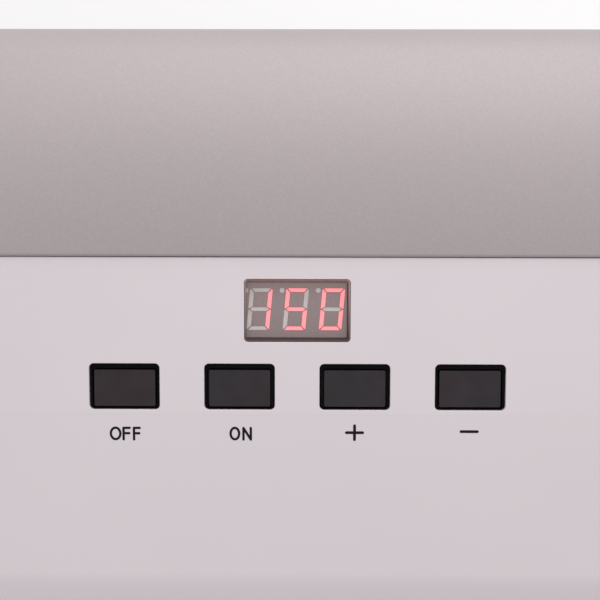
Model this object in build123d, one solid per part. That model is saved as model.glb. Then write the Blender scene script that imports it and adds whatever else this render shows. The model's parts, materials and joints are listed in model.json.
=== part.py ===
from build123d import *
import os
from math import cos, radians, sin

# A free-standing ceramic fan heater, in millimetres. X runs across the heater, -Y is its front,
# +Z is up, and the origin is on the floor under the middle of the box around it.

# Housing: the side outline is a front wall, a sloping control deck and a crowned silver rear.
HOUSING_WIDTH = 300.0
HOUSING_FLOOR = 9.0            # underside of both shells above the floor
SHOULDER_HEIGHT = 188.0        # where the front wall meets the deck
DECK_TILT = 40.0               # slope of the deck above its crease, from level
CREASE_TURN = 2.0              # the deck below its crease is this much steeper
CREASE_DROP = 55.0             # from the seam down the slope to the crease
DECK_FOOT = 66.0               # from the crease down to the shoulder
SHOULDER_RADIUS = 20.0
CROWN_RADIUS = 110.0
REAR_RADIUS = 34.0
SIDE_RADIUS = 14.0             # rounding of both ends of the housing
WALL = 2.5
PROUD = 0.8                    # the rear shell stands this much outside the front shell
SEAM_GAP = 0.2
SEAM_DEPTH = 20.0              # how far the seam runs straight in before it turns down
TONGUE_REACH = 5.0
TONGUE_WALL = 1.5
LOOSE = 0.15                   # clearance between mouldings that meet
SLIP = 0.3                     # clearance round pieces that drop into an opening
OVER = 1.0                     # how far a cut runs past the face that it starts from
TINY = 1e-3                    # tolerance when edges are picked by their place

# Controls on the deck; drops are measured down the slope from the seam.
WINDOW_WIDTH, WINDOW_HEIGHT, WINDOW_RADIUS = 36.7, 21.8, 1.3
WINDOW_DROP = 18.55
KEY_DROP = 45.15
CAP_DROP = 45.8                # the keys sit low in their openings
KEY_PITCH = 40.0
KEY_NAMES = ("off", "on", "plus", "minus")
HOLE_WIDTH, HOLE_HEIGHT, HOLE_RADIUS = 24.5, 16.2, 1.7
CAP_WIDTH, CAP_HEIGHT, CAP_RADIUS = 21.4, 12.9, 0.6
CAP_SUNK = 0.95                # top of a key below the deck
KEY_TRAVEL = 0.8
COLLAR_SUNK = 1.3
COLLAR_GAP = 0.5               # round a key inside its black collar
BEZEL_THICK = 1.5
BEZEL_MARGIN = 1.5
FLANGE_MARGIN = 1.6
FLANGE_THICK = 1.2
PLUNGER_RADIUS = 3.2
PLUNGER_HEIGHT = 3.2
SWITCH_SIDE, SWITCH_HEIGHT, SWITCH_RADIUS = 12.0, 3.6, 1.0
DISPLAY_WIDTH, DISPLAY_HEIGHT, DISPLAY_DEPTH = 37.6, 19.2, 8.0
DISPLAY_RADIUS = 0.4
DISPLAY_SHIFT = -1.6           # the display sits a little left of its window
DISPLAY_GAP = 0.2
SURROUND_SUNK, SURROUND_LIP = 0.35, 0.25
SURROUND_SIGHT = (35.1, 19.4, 0.8)   # opening of the surround next to the display
SURROUND_SHIFT = -0.195
BOARD_THICK = 1.6
BOARD_WIDTH, BOARD_RADIUS = 190.0, 2.0
BOARD_TOP_DROP, BOARD_FOOT_DROP = 6.0, 66.0
POST_RADIUS = 3.5
SCREW_RADIUS = 1.5
SCREW_HEAD_RADIUS, SCREW_HEAD_HEIGHT = 3.0, 2.0
CHIP = (18.0, 10.0, 2.4)
CONNECTOR = (22.0, 7.0, 8.0)
CASE_RADIUS = 0.5              # corners of the chip and the connector
BUZZER_RADIUS, BUZZER_HEIGHT = 5.5, 5.5

# Base, feet and the tip-over switch.
BASE_INSET = 3.0
BASE_THICK = 3.0
BASE_GAP = 0.4
BASE_RIM_HEIGHT, BASE_RIM_WALL = 7.0, 2.0
FOOT_RADIUS, FOOT_SOCKET, FOOT_CHAMFER = 12.0, 1.0, 1.0
FOOT_INSET_X, FOOT_INSET_Y = 32.0, 30.0
BOSS_SIDE, BOSS_HEIGHT = 11.0, 22.0
TIP_X, TIP_Y = -92.0, 40.0
TIP_RADIUS, TIP_TRAVEL, TIP_FIT = 4.0, 5.0, 0.3
TIP_BODY = (24.0, 14.0, 18.0)
TIP_COLLAR, TIP_CHAMFER = 1.2, 0.8

# Outlet in the front wall.
OUTLET_WIDTH, OUTLET_HEIGHT, OUTLET_RADIUS = 236.0, 118.0, 8.0
OUTLET_Z = 98.0
GRILLE_SUNK, GRILLE_DEPTH, GRILLE_RIM = 0.8, 9.0, 3.0
GRILLE_LIP, GRILLE_LIP_THICK = 4.0, 1.5
LOUVRE_COUNT, LOUVRE_THICK, LOUVRE_CHORD, LOUVRE_TILT = 13, 1.5, 7.0, 20.0
RIB_COUNT, RIB_THICK = 5, 2.0

# Air path: duct, heating element and fan, all centred on the fan axis.
AXIS_Z = 98.0
DUCT_WIDTH, DUCT_HEIGHT, DUCT_WALL = 224.0, 138.0, 2.0
DUCT_FRONT, DUCT_REAR = -72.0, 34.0
DUCT_BOSS, DUCT_SCREW = 8.0, 12.0
FAN_RADIUS, FAN_GAP = 60.0, 2.5
FAN_DEPTH, HUB_RADIUS = 22.0, 20.0
BLADE_COUNT, BLADE_THICK, BLADE_PITCH = 7, 1.8, 38.0
BLADE_ROOT = 4.0               # how far a blade runs into the hub
BLADE_CHORD, BLADE_MARGIN = 24.1, 1.0
SHAFT_RADIUS = 3.0
SHAFT_NOSE, SHAFT_TAIL = 6.0, 2.0
CLIP_WALL, CLIP_THICK = 2.5, 2.5
ELEMENT_DEPTH, ELEMENT_SUNK = 16.0, 6.0
FIN_ROWS, FIN_ROW_HEIGHT = 6, 11.0
STONE_BAR_HEIGHT = 5.0
FIN_COUNT, FIN_THICK = 30, 0.8
ELEMENT_WIDTH = 200.0
STONES_PER_BAR, STONE_GAP = 7, 2.0
CHANNEL_INSET, CHANNEL_WALL = 2.0, 1.0
FRAME_RADIUS = 1.0
CUTOUT_RADIUS, CUTOUT_HEIGHT, CUTOUT_RISE = 7.5, 6.0, 4.0
CUTOUT_TAB = (24.0, 1.5, 6.0)
TERMINAL_WIDTH, TERMINAL_INSET = 6.0, 2.0
TERMINAL_REACH, TERMINAL_THICK = 10.0, 0.8
ROTOR_RADIUS, ROTOR_GAP = 14.0, 0.5
STATOR_WIDTH, STATOR_HEIGHT, STATOR_DEPTH = 50.0, 62.0, 18.0
STATOR_DROP = 10.0             # the stator hangs lower than the shaft by this
COIL_WALL, COIL_GAP, LIMB_WIDTH, YOKE_WEB = 5.0, 1.0, 14.0, 4.0
BUSH_RADIUS, BUSH_LENGTH, BUSH_GAP = 5.0, 7.0, 1.0
BEARING_PLATE, BEARING_PLATE_HEIGHT = 2.0, 16.0
FAN_TO_MOTOR, MOTOR_TO_MOUNT = 5.0, 3.0
ARM_COUNT, ARM_WIDTH, ARM_THICK, ARM_RADIUS = 4, 12.0, 2.5, 80.0
FIRST_ARM = 45.0               # angle of the first mount arm from level
MOUNT_HUB, MOUNT_BAR, MOUNT_BORE = 12.0, 12.0, 5.0
SPACER_RADIUS, SPACER_INSET = 4.0, 5.0

# Rear intake: a collar holds the hinged cover, the filter and the finger guard.
INTAKE_SIDE, COLLAR_WALL, COLLAR_DEPTH = 150.0, 2.5, 18.0
COVER_THICK, COVER_SUNK = 5.0, 0.6
COVER_SLOTS, COVER_SLOT_HEIGHT, COVER_SLOT_WIDTH, COVER_SPINE = 17, 4.6, 64.0, 6.0
PIN_RADIUS, PIN_FIT, PIN_LENGTH = 1.5, 0.06, 2.0
PULL_WIDTH, PULL_HEIGHT = 26.0, 5.0
FILTER_THICK, FILTER_GAP, FILTER_RADIUS = 5.0, 1.0, 1.0
GUARD_THICK, GUARD_RADIUS, GUARD_RIM, GUARD_CROSSBAR = 2.0, 2.0, 4.0, 4.0
GUARD_BARS, GUARD_BAR = 18, 2.4

# Service panel: power inlet and rocker switch in a shallow pocket.
POCKET_X0, POCKET_X1 = 84.0, 134.0
POCKET_Z0, POCKET_Z1 = 28.0, 106.0
POCKET_DEPTH, POCKET_WALL = 6.0, 2.5
INLET_Z, INLET_WIDTH, INLET_HEIGHT, INLET_BODY_DEPTH = 49.0, 27.0, 19.6, 21.0
INLET_FLANGE_WIDTH, INLET_FLANGE_HEIGHT, FLANGE_PLATE = 31.0, 24.0, 2.0
INLET_RADIUS, INLET_FLANGE_RADIUS = 1.0, 2.0
SOCKET_WIDTH, SOCKET_HEIGHT, SOCKET_DEPTH, SOCKET_RADIUS = 24.4, 16.4, 16.0, 3.0
BLADE_PIN = (2.0, 4.0)
BLADE_PIN_PLACES = ((-7.0, -1.5), (0.0, 2.0), (7.0, -1.5))
BLADE_PIN_SUNK, BLADE_PIN_TAIL = 3.0, 6.0
ROCKER_Z, ROCKER_FRAME_WIDTH, ROCKER_FRAME_HEIGHT = 86.0, 15.0, 25.0
ROCKER_WIDTH, ROCKER_RADIUS, ROCKER_SWING = 9.6, 8.4, 20.0
ROCKER_BODY_DEPTH, ROCKER_FRAME_RADIUS, ROCKER_SUNK = 16.0, 1.5, 4.0
ROCKER_FACE, DISH_RISE = 3.2, 1.0     # flat and hollow of the paddle, from its pivot
PIVOT_RADIUS, PIVOT_REACH = 1.2, 0.5

# Hand grip moulded into the rear wall.
GRIP_WIDTH, GRIP_HEIGHT, GRIP_DEPTH = 116.0, 28.0, 24.0
GRIP_Z = 224.0

# Power board above the duct.
POWER_WIDTH, POWER_DEPTH, POWER_Y = 130.0, 74.0, -20.0
POWER_RISE, POWER_POST_INSET, POWER_BITE = 6.0, 5.0, 5.0
RELAY = (20.0, 16.0, 16.0)
RELAY_SPREAD = 52.0
CAPACITOR, CAPACITOR_Y = (18.0, 8.0, 13.0), 4.0
FUSE_RADIUS, FUSE_LENGTH, FUSE_Y = 3.0, 20.0, -46.0
TERMINAL_BLOCK, TERMINAL_BLOCK_X, TERMINAL_BLOCK_Y = (20.0, 12.0, 12.0), 44.0, -46.0

# Places worked out from the sizes above.
up_slope = Vector(0, cos(radians(DECK_TILT)), sin(radians(DECK_TILT)))
deck_out = Vector(0, -sin(radians(DECK_TILT)), cos(radians(DECK_TILT)))
foot_tilt = radians(DECK_TILT + CREASE_TURN)
foot_slope = Vector(0, cos(foot_tilt), sin(foot_tilt))
deck_run = CREASE_DROP * up_slope.Y + DECK_FOOT * foot_slope.Y
deck_rise = CREASE_DROP * up_slope.Z + DECK_FOOT * foot_slope.Z
crown_run = CROWN_RADIUS * sin(radians(DECK_TILT))
body_depth = deck_run + crown_run + REAR_RADIUS
front_y = -(body_depth + PROUD) / 2
rear_y = front_y + body_depth + PROUD
seam = Vector(0, front_y + deck_run, SHOULDER_HEIGHT + deck_rise)
crease = seam - up_slope * CREASE_DROP
shoulder = Vector(0, front_y, SHOULDER_HEIGHT)
crown_centre = seam - deck_out * CROWN_RADIUS
crown_top = crown_centre + Vector(0, 0, CROWN_RADIUS)
rear_centre = crown_top - Vector(0, 0, REAR_RADIUS)
bezel_top = -(WALL + LOOSE)
bezel_foot = bezel_top - BEZEL_THICK
flange_top = bezel_foot - LOOSE
flange_foot = flange_top - FLANGE_THICK
board_top = -(WALL + DISPLAY_GAP + DISPLAY_DEPTH)
board_foot = board_top - BOARD_THICK
switch_top = board_top + SWITCH_HEIGHT
plunger_top = switch_top + KEY_TRAVEL + LOOSE
deck_frame = Plane(origin=seam, x_dir=(1, 0, 0), z_dir=deck_out)
key_x = [(index - 1.5) * KEY_PITCH for index in range(len(KEY_NAMES))]
base_top = HOUSING_FLOOR - BASE_GAP
base_foot = base_top - BASE_THICK
inner_y = rear_y - PROUD - WALL
parts = {}


def side_point(vector):
    return (vector.Y, vector.Z)


def block(x0, x1, y0, y1, z0, z1):
    """A box between two values on each axis."""
    centre = Pos((x0 + x1) / 2, (y0 + y1) / 2, (z0 + z1) / 2)
    return centre * Box(abs(x1 - x0), abs(y1 - y0), abs(z1 - z0))


def rod(radius, x, z, y0, y1):
    """A cylinder along Y."""
    return Pos(x, (y0 + y1) / 2, z) * Rot(90, 0, 0) * Cylinder(radius, abs(y1 - y0))


def post(radius, x, y, z0, z1):
    """A cylinder along Z."""
    return Pos(x, y, (z0 + z1) / 2) * Cylinder(radius, abs(z1 - z0))


def slab(width, height, radius, y0, y1, x=0.0, z=AXIS_Z):
    """A plate with rounded corners that faces along Y."""
    outline = Pos(x, z) * RectangleRounded(width, height, radius)
    plate = extrude(Plane.XZ * outline, amount=abs(y1 - y0))
    return Pos(0, max(y0, y1), 0) * plate


def on_deck(shape, x, drop, height):
    """A shape moved from its own origin to a place on the deck."""
    return deck_frame.location * Pos(x, -drop, height) * shape


def deck_slab(width, height, radius, x, drop, low, high):
    """A plate with rounded corners that lies along the deck."""
    plate = extrude(RectangleRounded(width, height, radius), amount=high - low)
    return on_deck(plate, x, drop, low)


def side_outline(grow, floor):
    """The outline of the housing seen from the side, grown outwards by an amount."""
    rear_start = rear_centre + Vector(0, REAR_RADIUS, 0)
    crown_mid = radians(90 + DECK_TILT / 2)
    crown_point = crown_centre + Vector(0, cos(crown_mid), sin(crown_mid)) * CROWN_RADIUS
    rear_point = rear_centre + Vector(0, cos(radians(45)), sin(radians(45))) * REAR_RADIUS
    corner_front = Vector(0, front_y, floor)
    corner_rear = Vector(0, rear_start.Y, floor)
    edges = [
        Line(side_point(corner_front), side_point(shoulder)),
        Line(side_point(shoulder), side_point(crease)),
        Line(side_point(crease), side_point(seam)),
        ThreePointArc(side_point(seam), side_point(crown_point), side_point(crown_top)),
        ThreePointArc(side_point(crown_top), side_point(rear_point), side_point(rear_start)),
        Line(side_point(rear_start), side_point(corner_rear)),
        Line(side_point(corner_rear), side_point(corner_front)),
    ]
    face = make_face(edges)
    near = face.vertices().sort_by_distance((shoulder.Y, shoulder.Z, 0))[0]
    face = fillet(near, SHOULDER_RADIUS)
    return offset(face, amount=grow, kind=Kind.INTERSECTION) if grow else face


def housing(grow, floor):
    """The whole housing as a solid, with its ends rounded."""
    half = HOUSING_WIDTH / 2 + grow
    solid = extrude(Plane.YZ * side_outline(grow, floor + grow), amount=half, both=True)
    ends = [
        edge for edge in solid.edges()
        if abs(abs(edge.center().X) - half) < TINY
        and edge.center().Z > floor + TINY
    ]
    return fillet(ends, SIDE_RADIUS + grow)


def front_region(shift):
    """All space in front of the seam, moved back by an amount."""
    far = 2 * (HOUSING_WIDTH + SHOULDER_HEIGHT)
    top = seam + up_slope * shift
    turn = top - deck_out * SEAM_DEPTH
    points = [
        top + deck_out * far,
        turn,
        Vector(0, turn.Y, -far),
        Vector(0, -2 * far, -far),
        Vector(0, -2 * far, 2 * far),
    ]
    outline = make_face(Polyline(*[side_point(p) for p in points], close=True))
    return extrude(Plane.YZ * outline, amount=far, both=True)


def screw(length):
    """A pan-head screw that points down, with its head's underside at the origin."""
    head = Pos(0, 0, SCREW_HEAD_HEIGHT / 2) * Cylinder(SCREW_HEAD_RADIUS, SCREW_HEAD_HEIGHT)
    return head + Pos(0, 0, -length / 2) * Cylinder(SCREW_RADIUS, length)


# --- Housing shells -------------------------------------------------------------------------
inside = housing(-WALL, HOUSING_FLOOR - 3 * WALL)
body = housing(0, HOUSING_FLOOR)
front_shell = (body & front_region(-SEAM_GAP / 2)) - inside
outlet_cut = slab(OUTLET_WIDTH, OUTLET_HEIGHT, OUTLET_RADIUS,
                  front_y - WALL, front_y + 2 * WALL, z=OUTLET_Z)
front_shell -= outlet_cut
front_shell -= deck_slab(WINDOW_WIDTH, WINDOW_HEIGHT, WINDOW_RADIUS, 0, WINDOW_DROP,
                         -2 * WALL, 2 * WALL)
for x in key_x:
    front_shell -= deck_slab(HOLE_WIDTH, HOLE_HEIGHT, HOLE_RADIUS, x, KEY_DROP,
                             -2 * WALL, 2 * WALL)
board_post_x = BOARD_WIDTH / 2 - 2 * POST_RADIUS
board_post_drops = (BOARD_TOP_DROP + 2 * POST_RADIUS, BOARD_FOOT_DROP - 2 * POST_RADIUS)
board_posts = [(side * board_post_x, drop) for side in (-1, 1) for drop in board_post_drops]
post_height = -board_top - WALL / 2
for x, drop in board_posts:
    front_shell += on_deck(Pos(0, 0, post_height / 2) * Cylinder(POST_RADIUS, post_height),
                           x, drop, board_top)

boss_x = HOUSING_WIDTH / 2 - WALL - BOSS_SIDE / 2
boss_front = front_y + WALL + SIDE_RADIUS
boss_rear = inner_y - SIDE_RADIUS
base_bosses = [(side * boss_x, y) for side in (-1, 1) for y in (boss_front, boss_rear)]
boss_foot = base_top + BASE_RIM_HEIGHT + LOOSE


def base_boss(x, y):
    """A square boss that stands off the end wall."""
    wall_x = HOUSING_WIDTH / 2 - WALL / 2
    inner = wall_x - BOSS_SIDE - WALL / 2
    side = 1 if x > 0 else -1
    return block(side * inner, side * wall_x, y - BOSS_SIDE / 2, y + BOSS_SIDE / 2,
                 boss_foot, boss_foot + BOSS_HEIGHT)


for x, y in base_bosses:
    if y < 0:
        front_shell += base_boss(x, y)

outer = housing(PROUD, HOUSING_FLOOR)
rear_shell = outer - front_region(SEAM_GAP / 2) - inside
tongue_start = housing(-WALL + LOOSE, HOUSING_FLOOR)
tongue_ring = housing(-WALL - LOOSE, HOUSING_FLOOR)
tongue_inside = housing(-WALL - TONGUE_WALL, HOUSING_FLOOR - 3 * WALL)
tongue_zone = front_region(TONGUE_REACH) - front_region(-TONGUE_REACH)
tongue = (tongue_ring & tongue_zone) - tongue_inside
tongue_root = (tongue_start & (front_region(TONGUE_REACH) - front_region(SEAM_GAP / 2)))
tongue += tongue_root - tongue_inside
rim_clear = block(-HOUSING_WIDTH, HOUSING_WIDTH, front_y, rear_y, 0,
                  base_top + BASE_RIM_HEIGHT + LOOSE)
rear_shell += tongue - rim_clear

# Intake collar, open on both sides.
collar_outer = INTAKE_SIDE + 2 * COLLAR_WALL
collar_front = rear_y - COLLAR_DEPTH
collar = slab(collar_outer, collar_outer, WALL, collar_front, rear_y - PROUD - WALL / 2)
collar_bore = block(-INTAKE_SIDE / 2, INTAKE_SIDE / 2, collar_front - WALL, rear_y + WALL,
                    AXIS_Z - INTAKE_SIDE / 2, AXIS_Z + INTAKE_SIDE / 2)
rear_shell = rear_shell + collar - collar_bore

# Service pocket.
pocket_floor = rear_y - POCKET_DEPTH
pocket_tray = block(POCKET_X0 - POCKET_WALL, POCKET_X1 + POCKET_WALL,
                    pocket_floor - POCKET_WALL, rear_y - PROUD - WALL / 2,
                    POCKET_Z0 - POCKET_WALL, POCKET_Z1 + POCKET_WALL)
pocket_hole = block(POCKET_X0, POCKET_X1, pocket_floor, rear_y + WALL, POCKET_Z0, POCKET_Z1)
rear_shell = rear_shell + (pocket_tray & outer) - pocket_hole
pocket_x = (POCKET_X0 + POCKET_X1) / 2
inlet_cut = block(pocket_x - INLET_WIDTH / 2 - LOOSE, pocket_x + INLET_WIDTH / 2 + LOOSE,
                  pocket_floor - 2 * POCKET_WALL, rear_y,
                  INLET_Z - INLET_HEIGHT / 2 - LOOSE, INLET_Z + INLET_HEIGHT / 2 + LOOSE)
rocker_half = ROCKER_FRAME_HEIGHT / 2 - FLANGE_PLATE
rocker_side = ROCKER_FRAME_WIDTH / 2 - FLANGE_PLATE / 2
rocker_cut = block(pocket_x - rocker_side - LOOSE, pocket_x + rocker_side + LOOSE,
                   pocket_floor - 2 * POCKET_WALL, rear_y,
                   ROCKER_Z - rocker_half - LOOSE, ROCKER_Z + rocker_half + LOOSE)
rear_shell = rear_shell - inlet_cut - rocker_cut

# Hand grip.
grip_floor = rear_y - GRIP_DEPTH
grip_tray = block(-GRIP_WIDTH / 2 - WALL, GRIP_WIDTH / 2 + WALL,
                  grip_floor - WALL, rear_y - PROUD - WALL / 2,
                  GRIP_Z - GRIP_HEIGHT / 2 - WALL, GRIP_Z + GRIP_HEIGHT / 2 + WALL)
grip_hole = slab(GRIP_WIDTH, GRIP_HEIGHT, 3 * WALL, grip_floor, rear_y + WALL, z=GRIP_Z)
rear_shell = rear_shell + grip_tray - grip_hole
for x, y in base_bosses:
    if y > 0:
        rear_shell += base_boss(x, y)

# --- Base, feet and screws ------------------------------------------------------------------
base_width = HOUSING_WIDTH - 2 * BASE_INSET
base_depth = body_depth - 2 * BASE_INSET
base_middle = front_y + body_depth / 2


def base_plate(width, depth, radius, z0, z1):
    plate = extrude(RectangleRounded(width, depth, radius), amount=z1 - z0)
    return Pos(0, base_middle, z0) * plate


rim_width = HOUSING_WIDTH - 2 * WALL - 2 * LOOSE
rim_depth = body_depth - 2 * WALL - 2 * LOOSE
rim_radius = SIDE_RADIUS - WALL - LOOSE
base_tray = base_plate(base_width, base_depth, SIDE_RADIUS - BASE_INSET, base_foot, base_top)
rim = base_plate(rim_width, rim_depth, rim_radius, base_top - WALL / 2, base_top + BASE_RIM_HEIGHT)
rim -= base_plate(rim_width - 2 * BASE_RIM_WALL, rim_depth - 2 * BASE_RIM_WALL,
                  rim_radius - BASE_RIM_WALL, base_top - WALL, base_top + 2 * BASE_RIM_HEIGHT)
base_tray += rim
feet_at = [(side * (HOUSING_WIDTH / 2 - FOOT_INSET_X), base_middle + end
            * (body_depth / 2 - FOOT_INSET_Y)) for side in (-1, 1) for end in (-1, 1)]
foot_top = base_foot + FOOT_SOCKET
rubber_feet = []
for x, y in feet_at:
    base_tray -= post(FOOT_RADIUS + LOOSE, x, y, base_foot - WALL, foot_top)
    foot = post(FOOT_RADIUS, x, y, 0, foot_top)
    rubber_feet.append(chamfer(foot.faces().sort_by(Axis.Z)[0].edges(),
                               FOOT_CHAMFER))

boss_screws = []
screw_seat = base_foot + SCREW_HEAD_HEIGHT
screw_reach = boss_foot + BOSS_HEIGHT / 2 - screw_seat
for x, y in base_bosses:
    bore = post(SCREW_RADIUS, x, y, 0, screw_seat + screw_reach)
    base_tray += post(BOSS_SIDE / 2, x, y, base_top - WALL / 2, boss_foot - LOOSE)
    base_tray -= post(SCREW_HEAD_RADIUS + LOOSE, x, y, base_foot - WALL, screw_seat)
    base_tray -= bore
    front_shell -= bore
    rear_shell -= bore
    boss_screws.append(Pos(x, y, screw_seat) * Rot(180, 0, 0) * screw(screw_reach))
tip_hole = TIP_RADIUS + TIP_FIT
base_tray -= post(tip_hole, TIP_X, TIP_Y, 0, base_top + WALL)

tip_low = base_top + TIP_TRAVEL + TIP_COLLAR + LOOSE
tip_foot = base_top
tip_top = tip_foot + TIP_BODY[2]
tip_switch = block(TIP_X - TIP_BODY[0] / 2, TIP_X + TIP_BODY[0] / 2,
                   TIP_Y - TIP_BODY[1] / 2, TIP_Y + TIP_BODY[1] / 2, tip_foot, tip_top)
tip_chamber_top = tip_low + TIP_COLLAR + LOOSE
tip_collar_radius = TIP_RADIUS + TIP_COLLAR
tip_switch -= post(tip_collar_radius + TIP_FIT, TIP_X, TIP_Y, tip_foot - WALL, tip_chamber_top)
tip_switch -= post(tip_hole, TIP_X, TIP_Y, tip_foot - WALL, tip_chamber_top + TIP_TRAVEL / 2)
tip_plunger = post(TIP_RADIUS, TIP_X, TIP_Y, 0, tip_chamber_top + LOOSE)
tip_plunger += post(tip_collar_radius, TIP_X, TIP_Y, tip_low, tip_low + TIP_COLLAR)
tip_plunger = chamfer(tip_plunger.faces().sort_by(Axis.Z)[0].edges(), TIP_CHAMFER)

# --- Outlet grille --------------------------------------------------------------------------
grille_front = front_y + GRILLE_SUNK
grille_back = grille_front + GRILLE_DEPTH
grille_width = OUTLET_WIDTH - 2 * SLIP
grille_height = OUTLET_HEIGHT - 2 * SLIP
outlet_grille = slab(grille_width, grille_height, OUTLET_RADIUS - SLIP,
                     grille_front, grille_back, z=OUTLET_Z)
lip_y = front_y + WALL + LOOSE
outlet_grille += slab(OUTLET_WIDTH + 2 * GRILLE_LIP, OUTLET_HEIGHT + 2 * GRILLE_LIP,
                      OUTLET_RADIUS + GRILLE_LIP, lip_y, lip_y + GRILLE_LIP_THICK, z=OUTLET_Z)
mouth_width = grille_width - 2 * GRILLE_RIM
mouth_height = grille_height - 2 * GRILLE_RIM
outlet_grille -= slab(mouth_width, mouth_height, OUTLET_RADIUS - GRILLE_RIM,
                      grille_front - WALL, grille_back + WALL, z=OUTLET_Z)
louvre_pitch = mouth_height / (LOUVRE_COUNT + 1)
louvre_y = grille_front + GRILLE_DEPTH / 2
for index in range(LOUVRE_COUNT):
    z = OUTLET_Z + (index - (LOUVRE_COUNT - 1) / 2) * louvre_pitch
    louvre = Box(mouth_width + GRILLE_RIM, LOUVRE_CHORD, LOUVRE_THICK)
    outlet_grille += Pos(0, louvre_y, z) * Rot(LOUVRE_TILT, 0, 0) * louvre
for index in range(RIB_COUNT):
    x = (index - (RIB_COUNT - 1) / 2) * mouth_width / (RIB_COUNT + 1)
    outlet_grille += block(x - RIB_THICK / 2, x + RIB_THICK / 2,
                           louvre_y, grille_back - LOOSE,
                           OUTLET_Z - mouth_height / 2 - OVER,
                           OUTLET_Z + mouth_height / 2 + OVER)

# --- Keys, display and control board --------------------------------------------------------
key_bezel = deck_slab(3 * KEY_PITCH + HOLE_WIDTH + 2 * BEZEL_MARGIN,
                      HOLE_HEIGHT + 2 * BEZEL_MARGIN, HOLE_RADIUS + BEZEL_MARGIN,
                      0, KEY_DROP, bezel_foot, bezel_top)
collar_open = (CAP_WIDTH + 2 * COLLAR_GAP, CAP_HEIGHT + 2 * COLLAR_GAP, CAP_RADIUS + COLLAR_GAP)
flange_size = (CAP_WIDTH + 2 * FLANGE_MARGIN, CAP_HEIGHT + 2 * FLANGE_MARGIN, HOLE_RADIUS)
switches = []
for name, x in zip(KEY_NAMES, key_x):
    key_bezel += deck_slab(HOLE_WIDTH - 2 * LOOSE, HOLE_HEIGHT - 2 * LOOSE, HOLE_RADIUS - LOOSE,
                           x, KEY_DROP, bezel_top - LOOSE, -COLLAR_SUNK)
    key_bezel -= deck_slab(*collar_open, x, CAP_DROP, bezel_foot - OVER, 0)
    cap = deck_slab(CAP_WIDTH, CAP_HEIGHT, CAP_RADIUS, x, CAP_DROP, flange_top, -CAP_SUNK)
    cap += deck_slab(*flange_size, x, CAP_DROP, flange_foot, flange_top)
    stem = Pos(0, 0, (flange_foot - plunger_top) / 2)
    cap += on_deck(stem * Cylinder(PLUNGER_RADIUS, flange_foot - plunger_top),
                   x, CAP_DROP, plunger_top)
    parts[f"{name}_key"] = cap
    plunger = on_deck(Pos(0, 0, -PLUNGER_HEIGHT / 2) * Cylinder(PLUNGER_RADIUS, PLUNGER_HEIGHT),
                      x, CAP_DROP, plunger_top)
    parts[f"{name}_switch_plunger"] = plunger
    switch = deck_slab(SWITCH_SIDE, SWITCH_SIDE, SWITCH_RADIUS, x, CAP_DROP,
                       board_top, switch_top)
    well = Pos(0, 0, OVER - PLUNGER_HEIGHT / 2) * Cylinder(PLUNGER_RADIUS + SLIP,
                                                           PLUNGER_HEIGHT + 2 * OVER)
    switch -= on_deck(well, x, CAP_DROP, switch_top)
    switches.append(switch)
parts["key_bezel"] = key_bezel
parts["tact_switches"] = Compound(children=switches)
board_height = BOARD_FOOT_DROP - BOARD_TOP_DROP
board_drop = (BOARD_FOOT_DROP + BOARD_TOP_DROP) / 2
control_board = deck_slab(BOARD_WIDTH, board_height, BOARD_RADIUS, 0, board_drop,
                          board_foot, board_top)
board_screws = []
for x, drop in board_posts:
    bore = on_deck(Cylinder(SCREW_RADIUS, 4 * WALL + 2 * BOARD_THICK), x, drop, board_foot)
    front_shell -= bore
    control_board -= bore
    fastener = Rot(180, 0, 0) * screw(2 * WALL + BOARD_THICK)
    board_screws.append(on_deck(fastener, x, drop, board_foot))
parts["control_board"] = control_board
parts["board_screws"] = Compound(children=board_screws)
parts["display_module"] = deck_slab(DISPLAY_WIDTH, DISPLAY_HEIGHT, DISPLAY_RADIUS, DISPLAY_SHIFT,
                                    WINDOW_DROP, board_top, board_top + DISPLAY_DEPTH)
parts["control_chip"] = deck_slab(CHIP[0], CHIP[1], CASE_RADIUS, key_x[0], WINDOW_DROP,
                                  board_top, board_top + CHIP[2])
parts["board_connector"] = deck_slab(CONNECTOR[0], CONNECTOR[1], CASE_RADIUS, key_x[-1],
                                     WINDOW_DROP, board_foot - CONNECTOR[2], board_foot)
parts["buzzer"] = on_deck(Pos(0, 0, BUZZER_HEIGHT / 2) * Cylinder(BUZZER_RADIUS, BUZZER_HEIGHT),
                          key_x[-1], WINDOW_DROP, board_top)

# A dark surround lines the window and slopes in to the display's face.
surround_size = (WINDOW_WIDTH - 2 * LOOSE, WINDOW_HEIGHT - 2 * LOOSE)
surround_mouth = [side - 2 * SURROUND_LIP for side in surround_size]
mouth_radius = WINDOW_RADIUS - LOOSE - SURROUND_LIP
funnel = loft([
    Pos(SURROUND_SHIFT, 0, -WALL) * RectangleRounded(*SURROUND_SIGHT),
    Pos(0, 0, -SURROUND_SUNK) * RectangleRounded(*surround_mouth, mouth_radius),
])
display_surround = deck_slab(*surround_size, WINDOW_RADIUS - LOOSE, 0, WINDOW_DROP,
                             -WALL, -SURROUND_SUNK)
display_surround -= on_deck(funnel, 0, WINDOW_DROP, 0)
parts["display_surround"] = display_surround

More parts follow.
